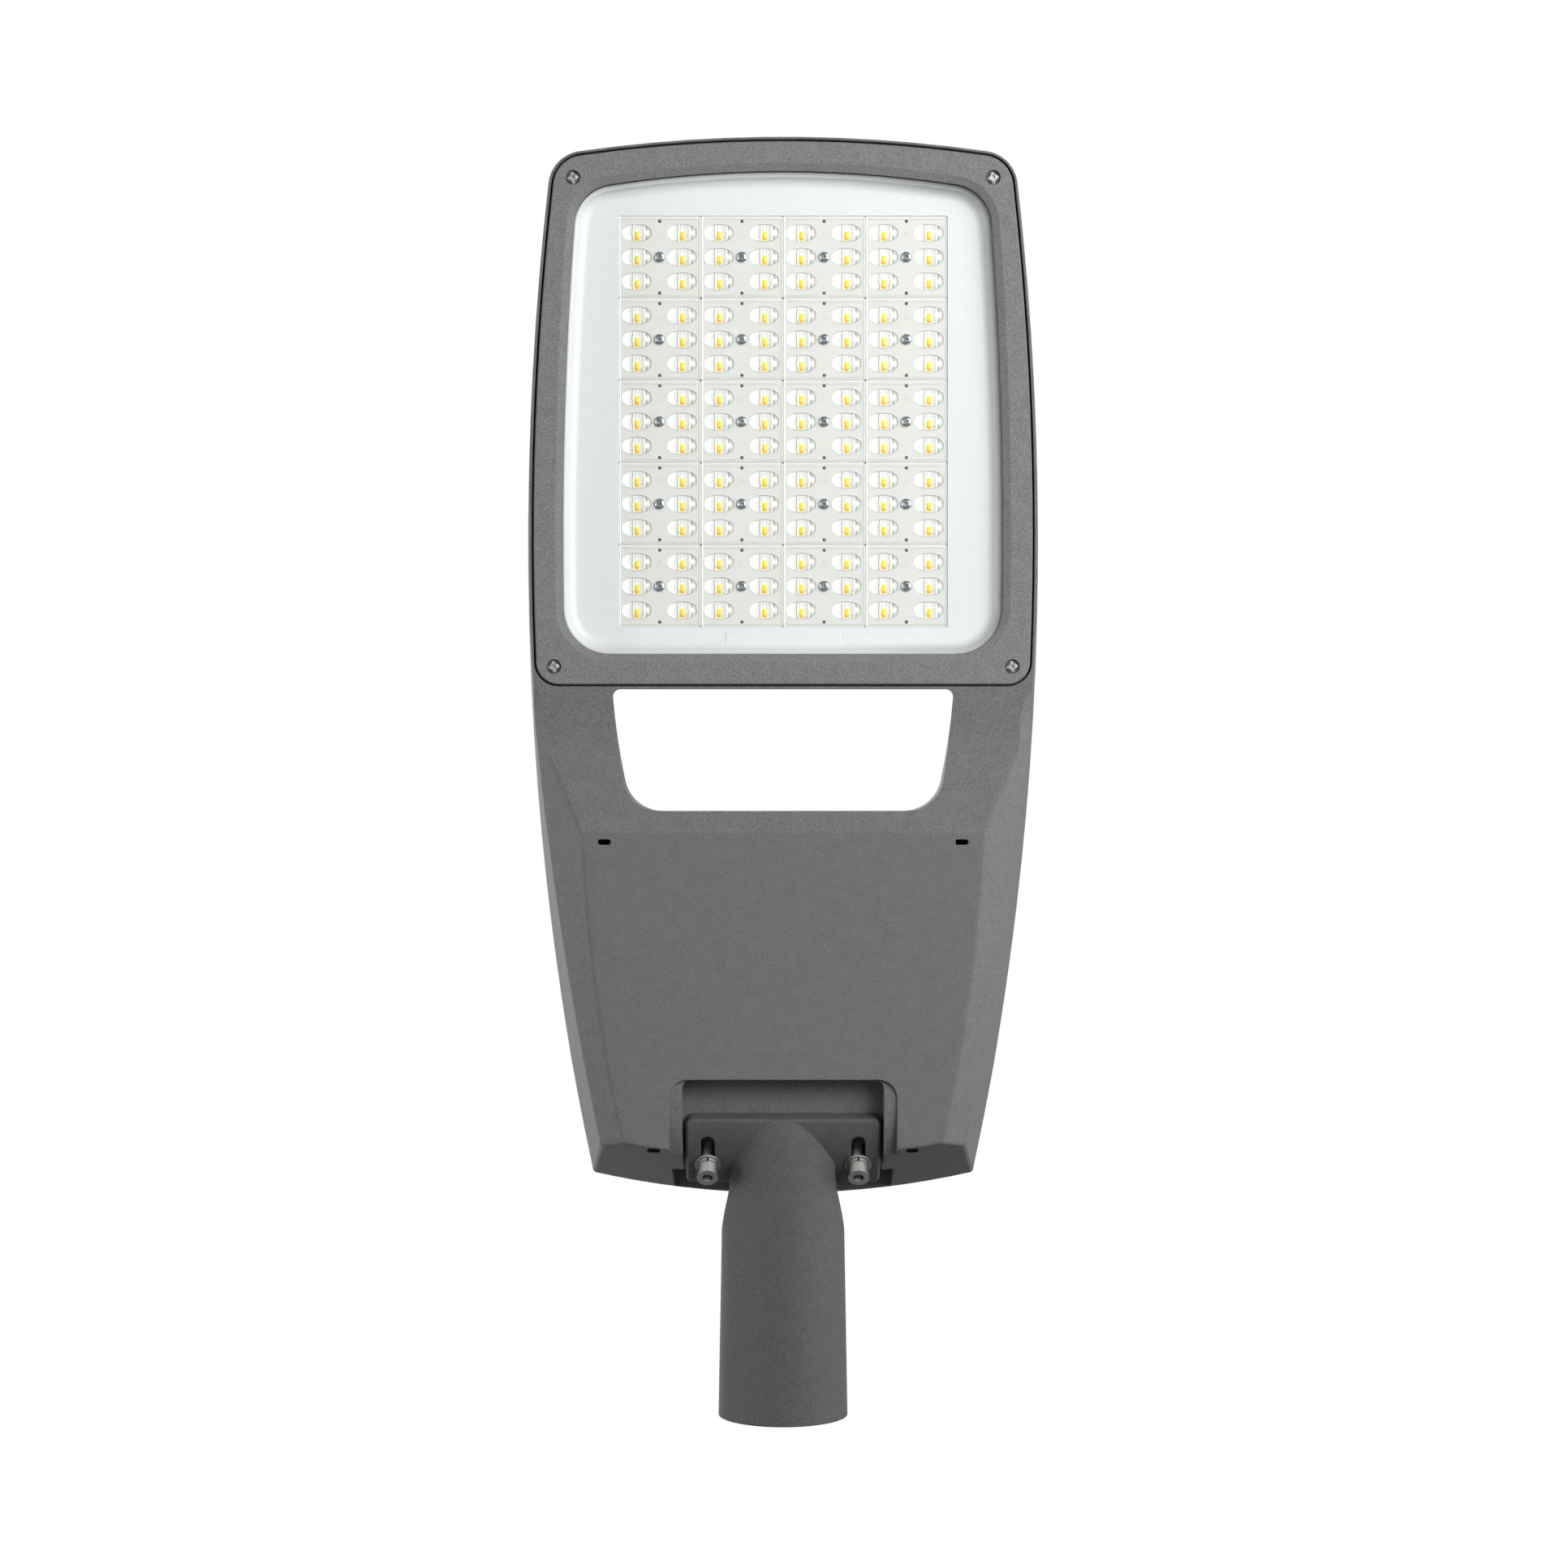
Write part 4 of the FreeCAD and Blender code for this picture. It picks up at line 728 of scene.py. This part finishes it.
def sharpen(mesh, degrees):
    # Edges steeper than this stay crisp.
    mesh.set_sharp_from_angle(angle=math.radians(degrees))
    return mesh


def placed_attribute(mesh, half_x, half_y, name="lens_place"):
    # Remembers where in its own lens or plate each corner lies, for the patterned materials.
    attribute = mesh.attributes.new(name, "FLOAT_VECTOR", "POINT")
    for vertex, item in zip(mesh.vertices, attribute.data):
        item.vector = (vertex.co.x / MM / half_x, vertex.co.y / MM / half_y, 0.0)
    return mesh


def loft(rings, closed_end=False):
    # Skin over rings of equal point counts, in millimetres.
    bm = bmesh.new()
    loops = []
    for ring in rings:
        loops.append([bm.verts.new((x * MM, y * MM, z * MM)) for x, y, z in ring])
    for low, high in zip(loops, loops[1:]):
        for k in range(len(low)):
            j = (k + 1) % len(low)
            bm.faces.new((low[k], low[j], high[j], high[k]))
    if closed_end:
        bm.faces.new(loops[-1])
    return bm, loops


def circle_crossing(ax, ay, ar, bx, by, br, wanted):
    # Crossing point of two circles that lies nearest to the wanted point.
    dx, dy = bx - ax, by - ay
    gap = math.hypot(dx, dy)
    along = (ar * ar - br * br + gap * gap) / (2 * gap)
    off = math.sqrt(max(0.0, ar * ar - along * along))
    mx, my = ax + along * dx / gap, ay + along * dy / gap
    found = [(mx + s * off * dy / gap, my - s * off * dx / gap) for s in (-1, 1)]
    return min(found, key=lambda p: math.hypot(p[0] - wanted[0], p[1] - wanted[1]))


def arc_points(cx, cy, radius, start, end, count):
    points = []
    for k in range(count):
        angle = start + (end - start) * k / count
        points.append((cx + radius * math.cos(angle), cy + radius * math.sin(angle)))
    return points


def opening_outline(inset, corner_step=10, side_step=40):
    # The lamp opening's outline moved inwards by inset, anticlockwise from above.
    side_r = OPENING_SIDE_RADIUS - inset
    side_cx = OPENING_SIDE_X - OPENING_SIDE_RADIUS
    front_r = OPENING_FRONT_RADIUS - inset
    front_cy = OPENING_FRONT_Y + OPENING_FRONT_RADIUS
    rear_y = OPENING_REAR_Y - inset
    front_corner = OPENING_FRONT_CORNER - inset
    rear_corner = OPENING_REAR_CORNER - inset
    fx, fy = circle_crossing(side_cx, OPENING_APEX_Y, side_r - front_corner, 0.0, front_cy,
                             front_r - front_corner, (OPENING_SIDE_X, OPENING_FRONT_Y))
    ry = rear_y - rear_corner
    rx = side_cx + math.sqrt((side_r - rear_corner) ** 2 - (ry - OPENING_APEX_Y) ** 2)
    front_angle = math.atan2(fy - front_cy, fx)
    side_low = math.atan2(fy - OPENING_APEX_Y, fx - side_cx)
    side_high = math.atan2(ry - OPENING_APEX_Y, rx - side_cx)
    right = arc_points(0.0, front_cy, front_r, -math.pi / 2, front_angle, side_step)
    right += arc_points(fx, fy, front_corner, front_angle, side_low, corner_step)
    right += arc_points(side_cx, OPENING_APEX_Y, side_r, side_low, side_high, side_step)
    right += arc_points(rx, ry, rear_corner, side_high, math.pi / 2, corner_step)
    right += [(rx * (1 - k / side_step), rear_y) for k in range(side_step)]
    left = [(-x, y) for x, y in right[1:]]
    middle = [(0.0, rear_y)]
    return right + middle + left[::-1]


def rounded_rectangle(half_x, half_y, radius, steps=6, cx=0.0, cy=0.0):
    points = []
    corners = ((1, 1, 0), (-1, 1, 90), (-1, -1, 180), (1, -1, 270))
    for sx, sy, start in corners:
        for k in range(steps + 1):
            angle = math.radians(start + 90 * k / steps)
            points.append((cx + sx * (half_x - radius) + radius * math.cos(angle),
                           cy + sy * (half_y - radius) + radius * math.sin(angle)))
    return points


def oval(half_x, half_y, count=32, power=2.25, cx=0.0, cy=0.0):
    # Power 2 gives an ellipse, more makes it squarer.
    points = []
    for k in range(count):
        angle = 2 * math.pi * k / count
        c, s = math.cos(angle), math.sin(angle)
        points.append((cx + half_x * math.copysign(abs(c) ** (2 / power), c),
                       cy + half_y * math.copysign(abs(s) ** (2 / power), s)))
    return points


def circle(radius, count, cx=0.0, cy=0.0):
    return oval(radius, radius, count, 2.0, cx, cy)


def sheet_with_holes(name, outline, holes, low, high, edge=0.08):
    # Flat plate between two heights with holes, its edges slightly rounded.
    curve = bpy.data.curves.new(name, "CURVE")
    curve.dimensions = "2D"
    curve.fill_mode = "BOTH"
    curve.extrude = ((high - low) / 2 - edge) * MM
    curve.bevel_depth = edge * MM
    curve.bevel_resolution = 2
    curve.offset = -edge * MM
    for loop in [outline] + holes:
        spline = curve.splines.new("POLY")
        spline.points.add(len(loop) - 1)
        for point, (x, y) in zip(spline.points, loop):
            point.co = (x * MM, y * MM, 0.0, 1.0)
        spline.use_cyclic_u = True
    holder = scene_object(name, curve)
    mesh = plain_copy(holder)
    bpy.data.objects.remove(holder)
    for vertex in mesh.vertices:
        vertex.co.z += (low + high) / 2 * MM
    return mesh


def joined(name, meshes):
    bm = bmesh.new()
    for mesh in meshes:
        bm.from_mesh(mesh)
    mesh = bpy.data.meshes.new(name)
    bm.to_mesh(mesh)
    bm.free()
    return mesh


def tube_round(points, radius, z, sides=8):
    # Closed round bead that follows a plan outline.
    rings = []
    count = len(points)
    for k, (x, y) in enumerate(points):
        px, py = points[k - 1]
        nx, ny = points[(k + 1) % count]
        length = math.hypot(nx - px, ny - py)
        ox, oy = (ny - py) / length, -(nx - px) / length
        ring = []
        for j in range(sides):
            angle = 2 * math.pi * j / sides
            ring.append((x + ox * radius * math.cos(angle), y + oy * radius * math.cos(angle),
                         z + radius * math.sin(angle)))
        rings.append(ring)
    bm = loft(rings + [rings[0]])[0]
    bmesh.ops.remove_doubles(bm, verts=bm.verts, dist=1e-6)
    return mesh_from_bmesh("bead", bm)


# Repeats: one Geometry Nodes group puts a piece on each point

def make_repeat_group():
    tree = bpy.data.node_groups.new("piece_on_points", "GeometryNodeTree")
    for label, kind in (("Points", "Geometry"), ("Piece", "Object"), ("Finish", "Material")):
        tree.interface.new_socket(label, in_out="INPUT", socket_type="NodeSocket" + kind)
    tree.interface.new_socket("Geometry", in_out="OUTPUT", socket_type="NodeSocketGeometry")
    source = tree.nodes.new("NodeGroupInput")
    sink = tree.nodes.new("NodeGroupOutput")
    info = tree.nodes.new("GeometryNodeObjectInfo")
    turn = add(tree, "GeometryNodeInputNamedAttribute", data_type="FLOAT_VECTOR", in_Name="turn")
    place = tree.nodes.new("GeometryNodeInstanceOnPoints")
    real = tree.nodes.new("GeometryNodeRealizeInstances")
    dress = tree.nodes.new("GeometryNodeSetMaterial")
    links = tree.links
    links.new(source.outputs["Piece"], info.inputs["Object"])
    links.new(source.outputs["Points"], place.inputs["Points"])
    links.new(info.outputs["Geometry"], place.inputs["Instance"])
    links.new(turn.outputs["Attribute"], place.inputs["Rotation"])
    links.new(place.outputs["Instances"], real.inputs[0])
    links.new(real.outputs[0], dress.inputs["Geometry"])
    links.new(source.outputs["Finish"], dress.inputs["Material"])
    links.new(dress.outputs[0], sink.inputs["Geometry"])
    return tree


repeat_group = make_repeat_group()
repeat_inputs = {item.name: item.identifier for item in repeat_group.interface.items_tree
                 if item.in_out == "INPUT"}


def repeated(name, mesh, points, material, turns=None):
    # One mesh holding a copy of the piece at each point, in millimetres; turns are radians.
    original = scene_object(name + "_one", mesh)
    cloud = bpy.data.meshes.new(name + "_points")
    cloud.from_pydata([Vector(p) * MM for p in points], [], [])
    attribute = cloud.attributes.new("turn", "FLOAT_VECTOR", "POINT")
    for k, item in enumerate(attribute.data):
        item.vector = turns[k] if turns else (0.0, 0.0, 0.0)
    holder = scene_object(name + "_holder", cloud)
    modifier = holder.modifiers.new("repeat", "NODES")
    modifier.node_group = repeat_group
    modifier[repeat_inputs["Piece"]] = original
    modifier[repeat_inputs["Finish"]] = material
    made = plain_copy(holder)
    bpy.data.objects.remove(holder)
    bpy.data.objects.remove(original)
    return scene_object(name, made)


# Lens modules

def lens_spots(x=0.0, y=0.0):
    return [(x + side * LENS_DX, y + row * LENS_PITCH) for row in (-1, 0, 1) for side in (-1, 1)]


def dome_height(share, angle):
    # Height at a share of the way out from the top, which has a shallow saddle across its middle.
    rise = math.sqrt(max(0.0, 1 - share ** 2.2))
    dip = 1 - 0.10 * math.exp(-((share * math.cos(angle)) / 0.30) ** 2)
    return LENS_HEIGHT * rise * dip


def lens_dome_mesh():
    # Hollow oval dome with a low foot ring, apex towards the light's side.
    steps = 10
    rings, places = [], []
    for part, height in ((1.0, -0.02), (0.45, -0.22)):
        reach = part * LENS_FOOT
        plan = oval(LENS_HALF_LENGTH + reach, LENS_HALF_WIDTH + reach, LENS_SIDES)
        rings.append([(x, y, height) for x, y in plan])
        places.append(1.0 + reach / LENS_HALF_WIDTH)
    for step in range(steps):
        share = math.cos(0.5 * math.pi * step / steps)
        ring = []
        for j, (x, y) in enumerate(oval(LENS_HALF_LENGTH * share, LENS_HALF_WIDTH * share, LENS_SIDES)):
            ring.append((x, y, -LENS_OVERLAP - dome_height(share, 2 * math.pi * j / LENS_SIDES)))
        rings.append(ring)
        places.append(share)
    bm, loops = loft(rings)
    tip = bm.verts.new((0, 0, (-LENS_OVERLAP - dome_height(0.0, 0.0)) * MM))
    last = loops[-1]
    for j in range(LENS_SIDES):
        bm.faces.new((last[j], last[(j + 1) % LENS_SIDES], tip))
    mesh = placed_attribute(mesh_from_bmesh("lens_dome", bm), LENS_HALF_LENGTH, LENS_HALF_WIDTH)
    for k, item in enumerate(mesh.attributes["lens_place"].data):
        share = places[k // LENS_SIDES] if k // LENS_SIDES < len(places) else 0.0
        item.vector = (item.vector[0], item.vector[1], share)
    return sharpen(mesh, 60)


def lens_bed_mesh():
    rings = []
    for share in (1.0, 0.8, 0.6, 0.4, 0.2):
        plan = oval(LENS_HALF_LENGTH * share, LENS_HALF_WIDTH * share, LENS_SIDES)
        rings.append([(x, y, 0.0) for x, y in plan])
    bm = loft(rings, closed_end=True)[0]
    return placed_attribute(mesh_from_bmesh("lens_bed", bm), LENS_HALF_LENGTH, LENS_HALF_WIDTH)


def emitter_mesh():
    rings = []
    for share, lift in CHIP_DOME:
        plan = oval(CHIP_HALF[0] * share, CHIP_HALF[1] * share, 24, 3.2, *CHIP_SHIFT)
        rings.append([(x, y, -lift) for x, y in plan])
    bm = loft(rings, closed_end=True)[0]
    return placed_attribute(mesh_from_bmesh("emitter", bm), LENS_HALF_LENGTH, LENS_HALF_WIDTH)


def module_plate_mesh():
    half = MODULE_SIZE / 2
    outline = rounded_rectangle(half, half, MODULE_CORNER)
    holes = [oval(LENS_HALF_LENGTH - LENS_OVERLAP, LENS_HALF_WIDTH - LENS_OVERLAP, cx=x, cy=y)
             for x, y in lens_spots()]
    holes += [circle(PEG_RADIUS + PEG_GAP, 14, cy=y) for y in (-PEG_OFFSET, PEG_OFFSET)]
    pieces = [sheet_with_holes("plate", outline, holes, 0.0, PLATE_THICKNESS - 0.1)]
    for inset, bead in zip(RIM_INSETS, RIM_BEADS):
        path = rounded_rectangle(half - inset, half - inset, max(0.8, MODULE_CORNER - inset + 0.5))
        pieces.append(tube_round(path, *bead))
    pieces.append(tube_round(circle(SEAT_RADIUS, 28), *SEAT_BEAD))
    pieces.append(tube_round(MARK_CORNERS, *MARK_BEAD))
    whole = joined("module_plate", pieces)
    return sharpen(placed_attribute(whole, 1.0, 1.0, "plate_place"), 40)


def peg_mesh():
    rings = []
    for share, drop in ((1.0, 0.9), (0.96, 0.35), (0.75, 0.2), (0.4, 0.12)):
        rings.append([(x, y, drop) for x, y in circle(PEG_RADIUS * share, 16)])
    bm = loft(rings, closed_end=True)[0]
    return mesh_from_bmesh("peg", bm)


centres = [(c.x, c.y, PLATE_FACE) for c in module_centres]
plates = repeated("optic_plates", module_plate_mesh(), centres, finishes["clear_optic"])
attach(plates, HEAD)
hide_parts(*module_names)

spots = [(x, y, PLATE_FACE) for c in module_centres for x, y in lens_spots(c.x, c.y)]
domes = repeated("optic_domes", lens_dome_mesh(), spots, lens_look)
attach(domes, HEAD)

bed_spots = [(x, y, z + BED_DEPTH) for x, y, z in spots]
beds = repeated("optic_beds", lens_bed_mesh(), bed_spots, bed_look)
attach(beds, HEAD)

emitters = repeated("led_emitters", emitter_mesh(), bed_spots, finishes["led_phosphor"])
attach(emitters, HEAD)
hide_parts("led_chips")

peg_spots = [(x, y + end * PEG_OFFSET, z) for x, y, z in centres for end in (-1, 1)]
pegs = repeated("optic_pegs", peg_mesh(), peg_spots, peg_look)
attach(pegs, HEAD)


# Lens screws: pan heads with a cross recess

def cross_cutter(arm, width, depth, top):
    # Two crossed tapered bars that reach from the height top into the head.
    bm = bmesh.new()
    for turn in (0.0, math.pi / 2):
        corners = []
        for z, share in ((top, 1.0), (top + depth, 0.35)):
            for sx, sy in ((-1, -1), (1, -1), (1, 1), (-1, 1)):
                x, y = sx * arm * share, sy * width * (0.6 + 0.4 * share)
                corners.append(bm.verts.new(((x * math.cos(turn) - y * math.sin(turn)) * MM,
                                             (x * math.sin(turn) + y * math.cos(turn)) * MM, z * MM)))
        low, high = corners[:4], corners[4:]
        bm.faces.new(low)
        bm.faces.new(high[::-1])
        for k in range(4):
            bm.faces.new((low[k], low[(k + 1) % 4], high[(k + 1) % 4], high[k]))
    return mesh_from_bmesh("cross", bm, smooth=False)


def pan_head_mesh(radius, height):
    rings = []
    for share, rise in SCREW_DOME:
        rings.append([(x, y, -rise * height) for x, y in circle(radius * share, 32)])
    bm, loops = loft(rings, closed_end=True)
    bm.faces.new(loops[0][::-1])
    head = scene_object("head_blank", mesh_from_bmesh("head_blank", bm))
    cross = cross_cutter(CROSS_ARM, CROSS_HALF_WIDTH, height * 1.1, -height - 0.2)
    cutter = scene_object("head_cutter", cross)
    modifier = head.modifiers.new("cross", "BOOLEAN")
    modifier.operation = "DIFFERENCE"
    modifier.solver = "EXACT"
    modifier.use_self = True
    modifier.object = cutter
    made = plain_copy(head)
    bpy.data.objects.remove(head)
    bpy.data.objects.remove(cutter)
    return sharpen(made, 35)


turns = [(0.0, 0.0, SCREW_TURN * k) for k in range(len(centres))]
screws = repeated("lens_screw_heads", pan_head_mesh(SCREW_RADIUS, SCREW_HEIGHT), centres,
                  lens_screw_look, turns)
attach(screws, HEAD)
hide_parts("lens_screws")


# White tray with a rounded dish

def lens_field():
    # Middle and half size of the field of modules in plan.
    boxes = [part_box(name) for name in module_names]
    low = Vector((min(box[0].x for box in boxes), min(box[0].y for box in boxes)))
    high = Vector((max(box[1].x for box in boxes), max(box[1].y for box in boxes)))
    return (low + high) / 2 / MM, (high - low) / 2 / MM


def tray_profile(lip, floor):
    # Section of the tray's rim from its outer skirt to the floor, as insets and heights.
    profile = [(TRAY_LIP[0][0], floor + TRAY_SKIRT)]
    profile += [(inset, lip + height) for inset, height in TRAY_LIP]
    start = lip + DISH_START
    for k in range(DISH_STEPS + 1):
        angle = 0.5 * math.pi * k / DISH_STEPS
        profile.append((DISH_INSET + DISH_WIDTH * (1 - math.cos(angle)),
                        start + (floor - start) * math.sin(angle)))
    return profile


def tray_mesh():
    middle, half = lens_field()
    floor = PLATE_FACE - TRAY_PROUD
    profile = tray_profile(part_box("cover_glass")[1].z / MM + GLASS_GAP, floor)
    rings = [[(x, y, z) for x, y in opening_outline(inset)] for inset, z in profile]
    bm, loops = loft(rings)
    hole = rounded_rectangle(half.x + TRAY_HOLE_GAP, half.y + TRAY_HOLE_GAP, TRAY_HOLE_CORNER, 4,
                             middle.x, middle.y)
    inner = [bm.verts.new((x * MM, y * MM, floor * MM)) for x, y in hole]
    edges = [bm.edges.new((inner[k], inner[(k + 1) % len(inner)])) for k in range(len(inner))]
    last = loops[-1]
    edges += [bm.edges.get((last[k], last[(k + 1) % len(last)])) for k in range(len(last))]
    bmesh.ops.triangle_fill(bm, edges=edges, use_beauty=True)
    behind = [bm.verts.new((v.co.x, v.co.y, v.co.z + TRAY_THICKNESS * MM)) for v in inner]
    for k in range(len(inner)):
        j = (k + 1) % len(inner)
        bm.faces.new((inner[k], inner[j], behind[j], behind[k]))
    dish = mesh_from_bmesh("tray", bm)
    tab_outline = rounded_rectangle(*TAB_HALF, TAB_CORNER, 5, 0.0, TAB_Y)
    tab = sheet_with_holes("tab", tab_outline, [], floor - TAB_RISE, floor + TAB_ROOT)
    count = len(rings[0])
    for mesh, insets in ((dish, [inset for inset, z in profile]), (tab, [])):
        attribute = mesh.attributes.new("rim_inset", "FLOAT", "POINT")
        for k, item in enumerate(attribute.data):
            item.value = insets[k // count] if k // count < len(insets) else FLAT_INSET
    return sharpen(joined("tray", [dish, tab]), 40)


tray = scene_object("tray_dish", tray_mesh(), finishes["white_plastic"])
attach(tray, HEAD)
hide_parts("light_tray")


# Floor, light and camera

def make_stage():
    bm = bmesh.new()
    signs = ((-1, -1), (1, -1), (1, 1), (-1, 1))
    bm.faces.new([bm.verts.new((sx * FLOOR_REACH, sy * FLOOR_REACH, FLOOR_Z)) for sx, sy in signs])
    mesh = mesh_from_bmesh("floor", bm)
    material, tree, out = new_material("floor_look")
    shader = add(tree, "ShaderNodeBsdfPrincipled", in_Base_Color=(0.50, 0.50, 0.50, 1.0), in_Roughness=0.9)
    pale = add(tree, "ShaderNodeEmission", in_Strength=1.0)
    path = tree.nodes.new("ShaderNodeLightPath")
    share = product(tree, path.outputs["Is Camera Ray"], FLOOR_PALE_SHARE)
    tree.links.new(mix_shaders(tree, share, shader.outputs[0], pale.outputs[0]), out.inputs[0])
    floor = scene_object("floor", mesh, material)


def make_world():
    world = bpy.data.worlds.new("studio")
    bpy.context.scene.world = world
    world.use_nodes = True
    tree = world.node_tree
    tree.nodes.clear()
    out = tree.nodes.new("ShaderNodeOutputWorld")
    path = tree.nodes.new("ShaderNodeLightPath")
    seen = math_node(tree, "MAXIMUM", path.outputs["Is Camera Ray"], path.outputs["Is Glossy Ray"])
    seen = math_node(tree, "MAXIMUM", seen, path.outputs["Is Transmission Ray"])
    plain = add(tree, "ShaderNodeBackground", in_Color=WHITE, in_Strength=WORLD_LIGHT)
    white = add(tree, "ShaderNodeBackground", in_Color=WHITE, in_Strength=1.0)
    tree.links.new(mix_shaders(tree, seen, plain.outputs[0], white.outputs[0]), out.inputs[0])


def area_light(name, place, aim, size, power):
    light = bpy.data.lights.new(name, "AREA")
    light.shape = "SQUARE"
    light.size = size
    light.energy = power
    obj = scene_object(name, light)
    obj.location = place
    obj.rotation_mode = "QUATERNION"
    obj.rotation_quaternion = (Vector(aim) - Vector(place)).to_track_quat("-Z", "Y")


def make_camera():
    camera = bpy.data.cameras.new("camera")
    camera.lens = FOCAL_LENGTH
    camera.sensor_width = 36.0
    camera.clip_start = 0.05
    camera.clip_end = 50.0
    obj = scene_object("camera", camera)
    obj.location = CAMERA_PLACE
    obj.rotation_euler = Euler(CAMERA_TURN)
    bpy.context.scene.camera = obj


make_stage()
make_world()
for lamp in LAMPS:
    area_light(*lamp)
make_camera()
bpy.context.scene.view_settings.view_transform = "Standard"
